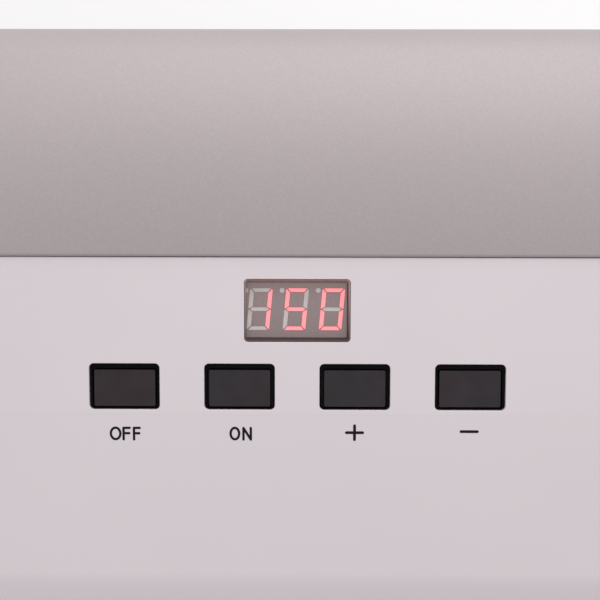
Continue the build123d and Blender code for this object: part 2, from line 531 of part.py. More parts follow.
# --- Duct and heating element ---------------------------------------------------------------
fan_bore = FAN_RADIUS + FAN_GAP
duct_x, duct_z = DUCT_WIDTH / 2, DUCT_HEIGHT / 2
air_duct = block(-duct_x, duct_x, DUCT_FRONT, DUCT_REAR, AXIS_Z - duct_z, AXIS_Z + duct_z)
air_duct -= block(-duct_x + DUCT_WALL, duct_x - DUCT_WALL, DUCT_FRONT - OVER, DUCT_REAR - DUCT_WALL,
                  AXIS_Z - duct_z + DUCT_WALL, AXIS_Z + duct_z - DUCT_WALL)
fan_front = DUCT_REAR - FAN_DEPTH - DUCT_WALL
air_duct += rod(fan_bore + DUCT_WALL, 0, AXIS_Z, fan_front, DUCT_REAR)
air_duct -= rod(fan_bore, 0, AXIS_Z, fan_front - OVER, DUCT_REAR + OVER)
duct_screws = []
for side in (-1, 1):
    leg_x = side * (duct_x - BOSS_SIDE)
    air_duct += block(leg_x - BOSS_SIDE / 2, leg_x + BOSS_SIDE / 2, -BOSS_SIDE, BOSS_SIDE,
                      base_top, AXIS_Z - duct_z)
    bore = post(SCREW_RADIUS, leg_x, 0, screw_seat, screw_seat + DUCT_SCREW)
    air_duct -= bore
    base_tray -= bore
    base_tray -= post(SCREW_HEAD_RADIUS + LOOSE, leg_x, 0, base_foot - WALL, screw_seat)
    duct_screws.append(Pos(leg_x, 0, screw_seat) * Rot(180, 0, 0) * screw(DUCT_SCREW))
power_x = POWER_WIDTH / 2 - POWER_POST_INSET
power_reach = POWER_DEPTH / 2 - POWER_POST_INSET
power_foot = AXIS_Z + duct_z + POWER_RISE
power_posts = [(side * power_x, POWER_Y + end * power_reach) for side in (-1, 1) for end in (-1, 1)]
for x, y in power_posts:
    air_duct += post(POST_RADIUS, x, y, AXIS_Z + duct_z - DUCT_WALL / 2, power_foot)

stack = FIN_ROWS * FIN_ROW_HEIGHT + (FIN_ROWS - 1) * STONE_BAR_HEIGHT
element_front = DUCT_FRONT + ELEMENT_SUNK
element_back = element_front + ELEMENT_DEPTH
frame_width = DUCT_WIDTH - 2 * DUCT_WALL - 2 * SLIP
frame_height = DUCT_HEIGHT - 2 * DUCT_WALL - 2 * SLIP
element_frame = slab(frame_width, frame_height, FRAME_RADIUS, element_front, element_back)
element_frame -= block(-ELEMENT_WIDTH / 2, ELEMENT_WIDTH / 2,
                       element_front - OVER, element_back + OVER,
                       AXIS_Z - stack / 2, AXIS_Z + stack / 2)
fins, stones, channels = [], [], []
fin_pitch = ELEMENT_WIDTH / FIN_COUNT
row_pitch = FIN_ROW_HEIGHT + STONE_BAR_HEIGHT
for row in range(FIN_ROWS):
    z = AXIS_Z + (row - (FIN_ROWS - 1) / 2) * row_pitch
    cell = Rectangle(fin_pitch - FIN_THICK, FIN_ROW_HEIGHT - 2 * FIN_THICK)
    outline = Rectangle(ELEMENT_WIDTH, FIN_ROW_HEIGHT)
    outline -= [Pos((n - (FIN_COUNT - 1) / 2) * fin_pitch, 0) * cell for n in range(FIN_COUNT)]
    bank = extrude(Plane.XZ * (Pos(0, z) * outline), amount=ELEMENT_DEPTH - 2 * FIN_THICK)
    fins.append(Pos(0, element_back - FIN_THICK, 0) * bank)
stone_width = (ELEMENT_WIDTH - (STONES_PER_BAR + 1) * STONE_GAP) / STONES_PER_BAR
channel_front, channel_back = element_front + CHANNEL_INSET, element_back - CHANNEL_INSET
for bar in range(FIN_ROWS - 1):
    z = AXIS_Z + (bar - (FIN_ROWS - 2) / 2) * row_pitch
    half = STONE_BAR_HEIGHT / 2
    channel = block(-ELEMENT_WIDTH / 2, ELEMENT_WIDTH / 2, channel_front, channel_back,
                    z - half, z + half)
    for n in range(STONES_PER_BAR):
        x = (n - (STONES_PER_BAR - 1) / 2) * (stone_width + STONE_GAP)
        size = (x - stone_width / 2, x + stone_width / 2,
                channel_front + CHANNEL_WALL, channel_back - CHANNEL_WALL,
                z - half + CHANNEL_WALL, z + half - CHANNEL_WALL)
        channel -= block(*size)
        stones.append(block(*size))
    channels.append(channel)
parts["duct_screws"] = Compound(children=duct_screws)
parts["heating_fins"] = Compound(children=fins)
parts["stone_channels"] = Compound(children=channels)
parts["ceramic_stones"] = Compound(children=stones)
cutout_z = AXIS_Z + stack / 2 + CUTOUT_RISE
parts["thermal_cutout"] = (rod(CUTOUT_RADIUS, 0, cutout_z, element_back, element_back + CUTOUT_HEIGHT)
                           + block(-CUTOUT_TAB[0] / 2, CUTOUT_TAB[0] / 2,
                                   element_back, element_back + CUTOUT_TAB[1],
                                   cutout_z - CUTOUT_TAB[2] / 2, cutout_z + CUTOUT_TAB[2] / 2))
terminals = []
for row in range(0, FIN_ROWS, 2):
    z = AXIS_Z + (row - (FIN_ROWS - 1) / 2) * row_pitch
    terminal_x = ELEMENT_WIDTH / 2 - TERMINAL_INSET
    terminals.append(block(terminal_x - TERMINAL_WIDTH, terminal_x,
                           element_back - FIN_THICK, element_back + TERMINAL_REACH,
                           z - TERMINAL_THICK / 2, z + TERMINAL_THICK / 2))
parts["terminal_blades"] = Compound(children=terminals)

# --- Fan and motor --------------------------------------------------------------------------
fan_rear = fan_front + FAN_DEPTH
fan_wheel = rod(HUB_RADIUS, 0, AXIS_Z, fan_front, fan_rear)
blade_reach = FAN_RADIUS - HUB_RADIUS + BLADE_ROOT
blade_middle = (FAN_RADIUS + HUB_RADIUS - BLADE_ROOT) / 2
swept = rod(FAN_RADIUS, 0, AXIS_Z, fan_front + BLADE_MARGIN, fan_rear - BLADE_MARGIN)
for index in range(BLADE_COUNT):
    blade = Pos(blade_middle, 0, 0) * Rot(-BLADE_PITCH, 0, 0) * Box(blade_reach, BLADE_CHORD,
                                                                    BLADE_THICK)
    turned = Rot(0, 360 / BLADE_COUNT * index, 0) * Rot(90, 0, 0) * blade
    fan_wheel += (Pos(0, (fan_front + fan_rear) / 2, AXIS_Z) * turned) & swept
fan_wheel -= rod(SHAFT_RADIUS, 0, AXIS_Z, fan_front - OVER, fan_rear + OVER)
motor_front = fan_rear + FAN_TO_MOTOR
stator_front = motor_front + BUSH_LENGTH + BUSH_GAP
stator_back = stator_front + STATOR_DEPTH
motor_back = stator_back + BUSH_LENGTH + BUSH_GAP
motor_shaft = rod(SHAFT_RADIUS, 0, AXIS_Z, fan_front - SHAFT_NOSE, motor_back + SHAFT_TAIL)
hub_clip = rod(SHAFT_RADIUS + CLIP_WALL, 0, AXIS_Z, fan_front - CLIP_THICK, fan_front)
hub_clip -= rod(SHAFT_RADIUS, 0, AXIS_Z, fan_front - CLIP_THICK - OVER, fan_front + OVER)
stator_span = (stator_front - OVER, stator_back + OVER)
motor_rotor = rod(ROTOR_RADIUS, 0, AXIS_Z, stator_front, stator_back)
motor_rotor -= rod(SHAFT_RADIUS, 0, AXIS_Z, *stator_span)
stator_low = AXIS_Z - STATOR_HEIGHT / 2 - STATOR_DROP
stator_high = stator_low + STATOR_HEIGHT
motor_stator = block(-STATOR_WIDTH / 2, STATOR_WIDTH / 2, stator_front, stator_back,
                     stator_low, stator_high)
motor_stator -= rod(ROTOR_RADIUS + ROTOR_GAP, 0, AXIS_Z, *stator_span)
slot_low = stator_low + LIMB_WIDTH / 2
slot_high = AXIS_Z - ROTOR_RADIUS - ROTOR_GAP - YOKE_WEB
for side in (-1, 1):
    motor_stator -= block(side * LIMB_WIDTH / 2, side * (STATOR_WIDTH - LIMB_WIDTH) / 2,
                          *stator_span, slot_low, slot_high)
motor_coil = block(-LIMB_WIDTH / 2 - COIL_WALL, LIMB_WIDTH / 2 + COIL_WALL,
                   stator_front - COIL_WALL, stator_back + COIL_WALL,
                   slot_low + COIL_GAP, slot_high - COIL_GAP)
motor_coil -= block(-LIMB_WIDTH / 2, LIMB_WIDTH / 2, stator_front, stator_back,
                    slot_low, slot_high)
bushes, plates = [], []
bearing_places = ((stator_front - BEARING_PLATE, motor_front),
                  (stator_back, stator_back + BUSH_GAP))
for plate_y, bush_y in bearing_places:
    bush = rod(BUSH_RADIUS, 0, AXIS_Z, bush_y, bush_y + BUSH_LENGTH)
    bushes.append(bush - rod(SHAFT_RADIUS + PIN_FIT / 2, 0, AXIS_Z, bush_y - OVER,
                             bush_y + BUSH_LENGTH + OVER))
    cup_y0, cup_y1 = min(plate_y, bush_y), max(plate_y + BEARING_PLATE, bush_y + BUSH_LENGTH)
    plate = block(-STATOR_WIDTH / 2, STATOR_WIDTH / 2, plate_y, plate_y + BEARING_PLATE,
                  AXIS_Z - BEARING_PLATE_HEIGHT / 2, AXIS_Z + BEARING_PLATE_HEIGHT / 2)
    plate += rod(BUSH_RADIUS + BEARING_PLATE, 0, AXIS_Z, cup_y0, cup_y1)
    plates.append(plate - rod(BUSH_RADIUS, 0, AXIS_Z, cup_y0 - OVER, cup_y1 + OVER))
parts["shaft_bushes"] = Compound(children=bushes)
parts["bearing_brackets"] = Compound(children=plates)

arm_y = motor_back + MOTOR_TO_MOUNT
arm_back = arm_y + ARM_THICK
arm_turns = [FIRST_ARM + 360 / ARM_COUNT * index for index in range(ARM_COUNT)]
leg_radius = ARM_RADIUS - ARM_WIDTH / 2
arm_centre = Plane(origin=(0, arm_y + ARM_THICK / 2, AXIS_Z), x_dir=(1, 0, 0), z_dir=(0, 1, 0))
motor_mount = rod(MOUNT_HUB, 0, AXIS_Z, arm_y, arm_back)
for arm_turn in arm_turns:
    turn = arm_centre.location * Rot(0, 0, arm_turn)
    motor_mount += turn * Pos(ARM_RADIUS / 2, 0, 0) * Box(ARM_RADIUS, ARM_WIDTH, ARM_THICK)
    leg_length = arm_y - DUCT_REAR
    leg_place = Pos(leg_radius, 0, -(leg_length + ARM_THICK) / 2)
    motor_mount += turn * leg_place * Box(ARM_WIDTH, ARM_WIDTH, leg_length)
for side in (-1, 1):
    spacer_x = side * (STATOR_WIDTH / 2 - SPACER_INSET)
    motor_mount += rod(SPACER_RADIUS, spacer_x, AXIS_Z, stator_back + BEARING_PLATE, arm_back)
motor_mount += block(-STATOR_WIDTH / 2, STATOR_WIDTH / 2, arm_y, arm_back,
                     AXIS_Z - MOUNT_BAR / 2, AXIS_Z + MOUNT_BAR / 2)
motor_mount -= rod(MOUNT_BORE, 0, AXIS_Z, arm_y - OVER, arm_back + OVER)
mount_screws = []
mount_bite = DUCT_REAR - DUCT_BOSS + OVER
for arm_turn in arm_turns:
    angle = radians(arm_turn)
    x, z = leg_radius * cos(angle), AXIS_Z + leg_radius * sin(angle)
    air_duct += rod(ARM_WIDTH / 2, x, z, DUCT_REAR - DUCT_BOSS, DUCT_REAR)
    bore = rod(SCREW_RADIUS, x, z, mount_bite, arm_back)
    air_duct -= bore
    motor_mount -= bore
    fastener = Rot(-90, 0, 0) * screw(arm_back - mount_bite)
    mount_screws.append(Pos(x, arm_back, z) * fastener)
parts["motor_mount_screws"] = Compound(children=mount_screws)

# --- Rear cover, filter and guard -----------------------------------------------------------
cover_back = rear_y - COVER_SUNK
cover_front = cover_back - COVER_THICK
cover_side = INTAKE_SIDE - 2 * SLIP
pin_y = (cover_back + cover_front) / 2
pin_z = AXIS_Z - cover_side / 2 + COVER_THICK / 2
cover_top = AXIS_Z + cover_side / 2
intake_cover = block(-cover_side / 2, cover_side / 2, cover_front, cover_back, pin_z, cover_top)
barrel = Pos(0, pin_y, pin_z) * Rot(0, 90, 0) * Cylinder(COVER_THICK / 2, cover_side)
intake_cover += barrel
slot_pitch = (cover_side - 2 * PULL_HEIGHT - COVER_THICK) / COVER_SLOTS
for index in range(COVER_SLOTS):
    z = pin_z + COVER_THICK + (index + 0.5) * slot_pitch
    for side in (-1, 1):
        x = side * (COVER_SLOT_WIDTH + COVER_SPINE) / 2
        intake_cover -= block(x - COVER_SLOT_WIDTH / 2, x + COVER_SLOT_WIDTH / 2,
                              cover_front - OVER, cover_back + OVER,
                              z - COVER_SLOT_HEIGHT / 2, z + COVER_SLOT_HEIGHT / 2)
intake_cover -= block(-PULL_WIDTH / 2, PULL_WIDTH / 2, cover_back - COVER_THICK / 2,
                      cover_back + OVER, cover_top - PULL_HEIGHT, cover_top + OVER)
for side in (-1, 1):
    pin_x = side * (cover_side / 2 + PIN_LENGTH / 2)
    intake_cover += Pos(pin_x, pin_y, pin_z) * Rot(0, 90, 0) * Cylinder(PIN_RADIUS, PIN_LENGTH)
hinge_bore = Pos(0, pin_y, pin_z) * Rot(0, 90, 0) * Cylinder(
    PIN_RADIUS + PIN_FIT, INTAKE_SIDE + 2 * COLLAR_WALL)
rear_shell -= hinge_bore

filter_back = cover_front - FILTER_GAP
filter_front = filter_back - FILTER_THICK
filter_side = INTAKE_SIDE - 2 * SLIP
guard_back = filter_front - LOOSE
guard_front = guard_back - GUARD_THICK
intake_filter = slab(filter_side, filter_side - COVER_THICK, FILTER_RADIUS, filter_front, filter_back,
                     z=AXIS_Z + COVER_THICK / 2)
guard_side = INTAKE_SIDE - 2 * LOOSE
finger_guard = slab(guard_side, guard_side, GUARD_RADIUS, guard_front, guard_back)
guard_pitch = (INTAKE_SIDE - 2 * GUARD_RIM) / GUARD_BARS
for index in range(GUARD_BARS):
    x = (index - (GUARD_BARS - 1) / 2) * guard_pitch
    half = (guard_pitch - GUARD_BAR) / 2
    for end in (-1, 1):
        finger_guard -= block(x - half, x + half, guard_front - OVER, guard_back + OVER,
                              AXIS_Z + end * GUARD_CROSSBAR / 2,
                              AXIS_Z + end * (INTAKE_SIDE / 2 - GUARD_RIM))

# --- Power inlet and rocker switch ----------------------------------------------------------
flange_back = pocket_floor + LOOSE + FLANGE_PLATE
inlet_front = flange_back - INLET_BODY_DEPTH
inlet_socket = slab(INLET_FLANGE_WIDTH, INLET_FLANGE_HEIGHT, INLET_FLANGE_RADIUS,
                    pocket_floor + LOOSE, flange_back, x=pocket_x, z=INLET_Z)
inlet_socket += slab(INLET_WIDTH, INLET_HEIGHT, INLET_RADIUS, inlet_front, flange_back,
                     x=pocket_x, z=INLET_Z)
inlet_socket -= slab(SOCKET_WIDTH, SOCKET_HEIGHT, SOCKET_RADIUS, flange_back - SOCKET_DEPTH,
                     flange_back + OVER, x=pocket_x, z=INLET_Z)
pins = []
for x, z in BLADE_PIN_PLACES:
    pin_box = (pocket_x + x - BLADE_PIN[0] / 2, pocket_x + x + BLADE_PIN[0] / 2,
               inlet_front - BLADE_PIN_TAIL, flange_back - BLADE_PIN_SUNK,
               INLET_Z + z - BLADE_PIN[1] / 2, INLET_Z + z + BLADE_PIN[1] / 2)
    inlet_socket -= block(*pin_box)
    pins.append(block(*pin_box))
parts["inlet_pins"] = Compound(children=pins)

rocker_back = flange_back
switch_housing = slab(ROCKER_FRAME_WIDTH, ROCKER_FRAME_HEIGHT, ROCKER_FRAME_RADIUS,
                      pocket_floor + LOOSE, rocker_back, x=pocket_x, z=ROCKER_Z)
switch_housing += block(pocket_x - rocker_side, pocket_x + rocker_side,
                        rocker_back - ROCKER_BODY_DEPTH, rocker_back,
                        ROCKER_Z - rocker_half, ROCKER_Z + rocker_half)
rocker_axis_y = rocker_back - ROCKER_SUNK
pit_half = ROCKER_RADIUS + SLIP
switch_housing -= block(pocket_x - ROCKER_WIDTH / 2 - SLIP, pocket_x + ROCKER_WIDTH / 2 + SLIP,
                        rocker_axis_y - pit_half, rocker_back + OVER,
                        ROCKER_Z - pit_half, ROCKER_Z + pit_half)
rocker = Pos(pocket_x, rocker_axis_y, ROCKER_Z) * Rot(0, 90, 0) * Cylinder(
    ROCKER_RADIUS, ROCKER_WIDTH)
paddle_high = Pos(pocket_x, rocker_axis_y, ROCKER_Z) * Rot(-ROCKER_SWING / 2, 0, 0)
face_cut = Pos(0, ROCKER_FACE + ROCKER_RADIUS, 0) * Box(2 * ROCKER_WIDTH, 2 * ROCKER_RADIUS,
                                                        4 * ROCKER_RADIUS)
dish = Pos(0, ROCKER_FACE + DISH_RISE + 4 * ROCKER_RADIUS, 0) * Rot(0, 90, 0) * Cylinder(
    4 * ROCKER_RADIUS, 2 * ROCKER_WIDTH)
rocker -= paddle_high * face_cut
rocker -= paddle_high * dish
pivot = Pos(pocket_x, rocker_axis_y, ROCKER_Z) * Rot(0, 90, 0)
pivot_length = ROCKER_WIDTH + 2 * SLIP + 2 * PIVOT_REACH
rocker += pivot * Cylinder(PIVOT_RADIUS, pivot_length)
switch_housing -= pivot * Cylinder(PIVOT_RADIUS + PIN_FIT, pivot_length + 2 * SLIP)
parts["power_rocker"] = rocker

# --- Power board ----------------------------------------------------------------------------
power_top = power_foot + BOARD_THICK
power_board = block(-POWER_WIDTH / 2, POWER_WIDTH / 2, POWER_Y - POWER_DEPTH / 2,
                    POWER_Y + POWER_DEPTH / 2, power_foot, power_top)
power_screws = []
for x, y in power_posts:
    bore = post(SCREW_RADIUS, x, y, power_foot - POWER_BITE, power_top + OVER)
    power_board -= bore
    air_duct -= bore
    power_screws.append(Pos(x, y, power_top) * screw(BOARD_THICK + POWER_BITE))
parts["power_board_screws"] = Compound(children=power_screws)


def on_power_board(size, x, y):
    """A box that stands on the power board."""
    width, depth, height = size
    return Pos(x, y, power_top + height / 2) * Box(width, depth, height)


parts["power_relays"] = Compound(children=[on_power_board(RELAY, side * RELAY_SPREAD / 2, POWER_Y)
                                           for side in (-1, 1)])
parts["line_capacitor"] = on_power_board(CAPACITOR, 0, CAPACITOR_Y)
parts["fuse"] = Pos(0, FUSE_Y, power_top + FUSE_RADIUS + LOOSE) * Rot(0, 90, 0) * Cylinder(
    FUSE_RADIUS, FUSE_LENGTH)
parts["terminal_block"] = on_power_board(TERMINAL_BLOCK, TERMINAL_BLOCK_X, TERMINAL_BLOCK_Y)

parts.update({
    "front_shell": front_shell,
    "rear_shell": rear_shell,
    "base_tray": base_tray,
    "rubber_feet": Compound(children=rubber_feet),
    "base_screws": Compound(children=boss_screws),
    "tip_switch": tip_switch,
    "tip_plunger": tip_plunger,
    "outlet_grille": outlet_grille,
    "air_duct": air_duct,
    "element_frame": element_frame,
    "fan_wheel": fan_wheel,
    "motor_shaft": motor_shaft,
    "hub_clip": hub_clip,
    "motor_rotor": motor_rotor,
    "motor_stator": motor_stator,
    "motor_coil": motor_coil,
    "motor_mount": motor_mount,
    "intake_cover": intake_cover,
    "intake_filter": intake_filter,
    "finger_guard": finger_guard,
    "inlet_socket": inlet_socket,
    "switch_housing": switch_housing,
    "power_board": power_board,
})

os.makedirs("parts", exist_ok=True)
for name, shape in parts.items():
    export_step(shape, f"parts/{name}.step")
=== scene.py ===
import json
from math import cos, pi, radians, sin, tan

import bpy
from mathutils import Matrix, Vector


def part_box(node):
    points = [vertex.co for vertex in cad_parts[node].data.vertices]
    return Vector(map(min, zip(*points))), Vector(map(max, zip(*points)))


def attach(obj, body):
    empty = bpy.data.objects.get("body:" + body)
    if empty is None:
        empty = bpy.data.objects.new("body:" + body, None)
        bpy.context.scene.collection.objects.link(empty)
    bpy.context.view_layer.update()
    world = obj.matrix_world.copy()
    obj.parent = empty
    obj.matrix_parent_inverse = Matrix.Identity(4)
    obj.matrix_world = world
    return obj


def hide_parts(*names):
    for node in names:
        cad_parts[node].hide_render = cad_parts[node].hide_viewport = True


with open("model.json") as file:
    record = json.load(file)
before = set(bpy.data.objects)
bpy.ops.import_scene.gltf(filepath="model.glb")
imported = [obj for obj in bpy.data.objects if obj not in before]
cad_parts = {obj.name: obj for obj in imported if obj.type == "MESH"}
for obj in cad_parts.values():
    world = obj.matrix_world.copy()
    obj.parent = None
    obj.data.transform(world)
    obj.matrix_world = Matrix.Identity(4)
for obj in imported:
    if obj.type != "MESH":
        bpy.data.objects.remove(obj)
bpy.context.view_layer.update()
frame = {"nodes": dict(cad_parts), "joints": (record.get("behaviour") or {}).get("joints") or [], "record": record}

nodes = frame["nodes"]
MM = 0.001

# ---------------------------------------------------------------------------------------------
# Places on the control deck
# ---------------------------------------------------------------------------------------------
# A drop is measured from the seam down the slope of the deck.
WINDOW_DROP = 18.55 * MM          # to the middle of the window
WINDOW_HALF = 18.35 * MM          # half the width of the window
DISPLAY_MIDDLE = 6.7 * MM         # middle of the display module below the deck
CREASE_DROP = 55.0 * MM
CREASE_TURN = radians(2.0)        # how much steeper the deck is below the crease
END_RADIUS = 14.0 * MM            # rounding of both ends of the housing
SEAM_HALF = 0.10 * MM             # half the gap between the two shells
SEAM_DEPTH = 20.0 * MM            # the seam runs straight in by this, then turns down
REAR_PROUD = 0.8 * MM             # how far the rear shell stands proud of the deck


def middle(node):
    low, high = (Vector(corner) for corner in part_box(node))
    return (low + high) / 2


press = next(joint for joint in frame["joints"] if joint["name"] == "off_press")
deck_out = -Vector(press["axis"]).normalized()
deck_right = Vector((1, 0, 0))
deck_up = deck_out.cross(deck_right)
display_place = middle("display_module")
window_place = display_place + deck_out * DISPLAY_MIDDLE
seam = Vector((0, window_place.y, window_place.z)) + deck_up * WINDOW_DROP
crease = seam - deck_up * CREASE_DROP
foot_turn = Matrix.Rotation(CREASE_TURN, 3, "X")
foot_up, foot_out = foot_turn @ deck_up, foot_turn @ deck_out


def facing(origin, right, up, out):
    """The matrix that lays a flat piece, drawn in X and Y, on a face."""
    turn = Matrix((right, up, out)).transposed().to_4x4()
    return Matrix.Translation(origin) @ turn


def on_deck(x, drop, height):
    return facing(seam + deck_right * x - deck_up * drop + deck_out * height,
                  deck_right, deck_up, deck_out)


def below_crease(x, drop):
    return facing(crease + deck_right * x - foot_up * (drop - CREASE_DROP),
                  deck_right, foot_up, foot_out)


# ---------------------------------------------------------------------------------------------
# Materials: pattern scales are in repeats to the metre, and colours are linear
# ---------------------------------------------------------------------------------------------
WHITE = (1.0, 1.0, 1.0)


class Finish:
    """A material with its node tree, a Principled shader and object coordinates."""

    def __init__(self, name, colour, roughness, metallic=0.0, **sockets):
        self.material = bpy.data.materials.new(name)
        self.material.use_nodes = True
        self.material.diffuse_color = (*colour, 1.0)
        self.tree = self.material.node_tree
        self.shader = self.tree.nodes["Principled BSDF"]
        self.shader.inputs["Base Color"].default_value = (*colour, 1.0)
        self.shader.inputs["Roughness"].default_value = roughness
        self.shader.inputs["Metallic"].default_value = metallic
        for socket, value in sockets.items():
            self.shader.inputs[socket.replace("_", " ")].default_value = value
        self.place = self.tree.nodes.new("ShaderNodeTexCoord").outputs["Object"]

    def node(self, kind, **values):
        made = self.tree.nodes.new(kind)
        for key, value in values.items():
            setattr(made, key, value)
        return made

    def link(self, output, socket):
        self.tree.links.new(output, socket)

    def stretched(self, scale):
        mapping = self.node("ShaderNodeMapping")
        mapping.inputs["Scale"].default_value = scale
        self.link(self.place, mapping.inputs["Vector"])
        return mapping.outputs["Vector"]

    def noise(self, scale, detail=2.0, vector=None):
        made = self.node("ShaderNodeTexNoise")
        made.inputs["Scale"].default_value = scale
        made.inputs["Detail"].default_value = detail
        self.link(vector or self.place, made.inputs["Vector"])
        return made.outputs["Fac"]

    def cells(self, scale, output="Distance", feature="F1"):
        made = self.node("ShaderNodeTexVoronoi", feature=feature)
        made.inputs["Scale"].default_value = scale
        self.link(self.place, made.inputs["Vector"])
        return made.outputs[output]

    def bands(self, scale, direction):
        made = self.node("ShaderNodeTexWave", bands_direction=direction)
        made.inputs["Scale"].default_value = scale
        self.link(self.place, made.inputs["Vector"])
        return made.outputs["Fac"]

    def between(self, value, low, high, start=0.3, end=0.7):
        """A value mapped from a span of a pattern onto another span."""
        made = self.node("ShaderNodeMapRange")
        made.inputs["From Min"].default_value = start
        made.inputs["From Max"].default_value = end
        made.inputs["To Min"].default_value = low
        made.inputs["To Max"].default_value = high
        self.link(value, made.inputs["Value"])
        return made.outputs["Result"]

    def rise(self, origin, direction):
        """How far a point lies from a place, along a direction, in metres."""
        offset = self.node("ShaderNodeVectorMath", operation="SUBTRACT")
        offset.inputs[1].default_value = origin
        self.link(self.place, offset.inputs[0])
        along = self.node("ShaderNodeVectorMath", operation="DOT_PRODUCT")
        along.inputs[1].default_value = direction
        self.link(offset.outputs["Vector"], along.inputs[0])
        return along.outputs["Value"]

    def along(self, origin, direction, width):
        """Zero on a plane through a place, rising to one at a width from it."""
        size = self.node("ShaderNodeMath", operation="ABSOLUTE")
        self.link(self.rise(origin, direction), size.inputs[0])
        return self.between(size.outputs["Value"], 0.0, 1.0, 0.0, width)

    def tint(self, value, dark, light, start=0.3, end=0.7):
        """Colours the surface between two colours by a pattern, over what it already has."""
        ramp = self.node("ShaderNodeValToRGB")
        ramp.color_ramp.elements[0].color = (*dark, 1.0)
        ramp.color_ramp.elements[1].color = (*light, 1.0)
        self.link(self.between(value, 0.0, 1.0, start, end), ramp.inputs["Fac"])
        socket = self.shader.inputs["Base Color"]
        if not socket.is_linked:
            self.link(ramp.outputs["Color"], socket)
            return
        before = socket.links[0].from_socket
        mix = self.node("ShaderNodeMix", data_type="RGBA", blend_type="MULTIPLY")
        mix.inputs["Factor"].default_value = 1.0
        self.link(before, mix.inputs[6])
        self.link(ramp.outputs["Color"], mix.inputs[7])
        self.link(mix.outputs[2], socket)

    def shine(self, value, low, high, start=0.3, end=0.7):
        self.link(self.between(value, low, high, start, end), self.shader.inputs["Roughness"])

    def relief(self, value, depth, strength):
        bump = self.node("ShaderNodeBump")
        bump.inputs["Distance"].default_value = depth
        bump.inputs["Strength"].default_value = strength
        self.link(value, bump.inputs["Height"])
        self.link(bump.outputs["Normal"], self.shader.inputs["Normal"])


def shade(colour, factor):
    return tuple(min(1.0, channel * factor) for channel in colour)


def grey(level):
    return level, level, level


def moulded(name, colour, roughness, grain, depth, spread=0.06, **sockets):
    """Moulded plastic: fine spark-eroded grain, a soft mottle and uneven gloss."""
    finish = Finish(name, colour, roughness, **sockets)
    mottle = finish.noise(14.0, 4.0)
    finish.tint(mottle, shade(colour, 1 - spread), shade(colour, 1 + spread))
    finish.shine(finish.noise(60.0, 5.0), roughness - 0.05, roughness + 0.07)
    finish.relief(finish.noise(grain, 3.0), depth * MM, 0.6)
    return finish.material


CREASE_SHADE_REACH = 0.22 * MM           # reach of the painted shade: a faint dark line along the crease


def white_gloss():
    colour = (0.74, 0.672, 0.707)
    finish = Finish("white_gloss_plastic", colour, 0.34, IOR=1.49, Specular_IOR_Level=0.5)
    finish.tint(finish.noise(9.0, 3.0), shade(colour, 0.985), shade(colour, 1.01))
    finish.tint(finish.noise(2200.0, 2.0), grey(0.985), WHITE)
    # painted shade: a faint dark line along the crease where the deck bends
    finish.tint(finish.along(crease, deck_up, CREASE_SHADE_REACH), grey(0.965), WHITE, 0.2, 1.0)
    finish.shine(finish.noise(40.0, 6.0), 0.30, 0.38)
    finish.relief(finish.noise(1600.0, 2.0), 0.004 * MM, 0.5)
    return finish.material


def silver_paint():
    """Silver paint: fine metallic flakes, each as bright as the red of its cell."""
    colour = (0.442, 0.391, 0.400)
    finish = Finish("silver_paint", colour, 0.62, metallic=0.25, Specular_IOR_Level=0.35)
    finish.tint(finish.noise(7.0, 3.0), shade(colour, 0.985), shade(colour, 1.015))
    flakes = finish.cells(3300.0, output="Color")
    split = finish.node("ShaderNodeSeparateColor")
    finish.link(flakes, split.inputs["Color"])
    finish.tint(split.outputs["Red"], grey(0.90), WHITE, 0.0, 1.0)
    finish.shine(finish.noise(2600.0, 2.0), 0.56, 0.68)
    finish.relief(finish.noise(1500.0, 3.0), 0.02 * MM, 0.35)
    return finish.material


def key_plastic():
    colour = (0.0182, 0.0098, 0.0145)
    finish = Finish("key_plastic", colour, 0.46, Specular_IOR_Level=0.36)
    finish.tint(finish.noise(70.0, 3.0), shade(colour, 0.85), shade(colour, 1.15))
    # a random reddish and bluish mottle, partly painted sheen standing in for faint bluish highlights
    finish.tint(finish.noise(42.0, 2.0), (1.0, 0.70, 0.74), (0.84, 1.0, 1.0), 0.38, 0.62)
    finish.tint(finish.noise(3000.0, 2.0), grey(0.88), WHITE)
    finish.shine(finish.noise(150.0, 5.0), 0.38, 0.52)
    finish.relief(finish.noise(2400.0, 3.0), 0.01 * MM, 0.7)
    return finish.material


SURROUND_SHADE_FOOT, SURROUND_GLOW_TOP = -10.0 * MM, 10.5 * MM    # its painted shade gives way to painted red light between these heights
SIDE_START, SIDE_END = 0.94, 0.97                      # shares of the window's half width, where the painted light turns greyer and lighter at the two ends
FACE_SHADE_REACH = 8.0 * MM                                  # painted shade darkens the display's face towards its lower side within this


def surround_painted_shade_and_glow():
    """Dark plastic with painted light: painted shade towards its lower side, painted red light from the segments
    towards its upper side, less red at its two ends.
    """
    finish = Finish("surround_painted_shade_and_glow", (0.10, 0.07, 0.07), 0.12, IOR=1.58,
                    Specular_IOR_Level=0.7)
    height = finish.rise(window_place, deck_up)
    # painted shade at the lower side and painted red light from the segments at the upper side
    finish.tint(height, (0.11, 0.066, 0.066), (0.62, 0.345, 0.30), SURROUND_SHADE_FOOT, SURROUND_GLOW_TOP)
    # painted light, greyer and lighter at the two ends of the window
    sides = finish.along(seam, deck_right, WINDOW_HALF)
    finish.tint(sides, (0.58, 0.56, 0.55), (0.88, 1.0, 1.0), SIDE_START, SIDE_END)
    finish.tint(finish.noise(900.0, 3.0), grey(0.85), WHITE)
    finish.shine(finish.noise(700.0, 3.0), 0.08, 0.15)
    return finish.material


def rubber():
    colour = (0.022, 0.022, 0.023)
    finish = Finish("foot_rubber", colour, 0.82, Specular_IOR_Level=0.3)
    finish.tint(finish.noise(120.0, 5.0), shade(colour, 0.7), shade(colour, 1.7))
    finish.shine(finish.noise(500.0, 3.0), 0.75, 0.92)
    finish.relief(finish.noise(1300.0, 4.0), 0.05 * MM, 0.8)
    return finish.material


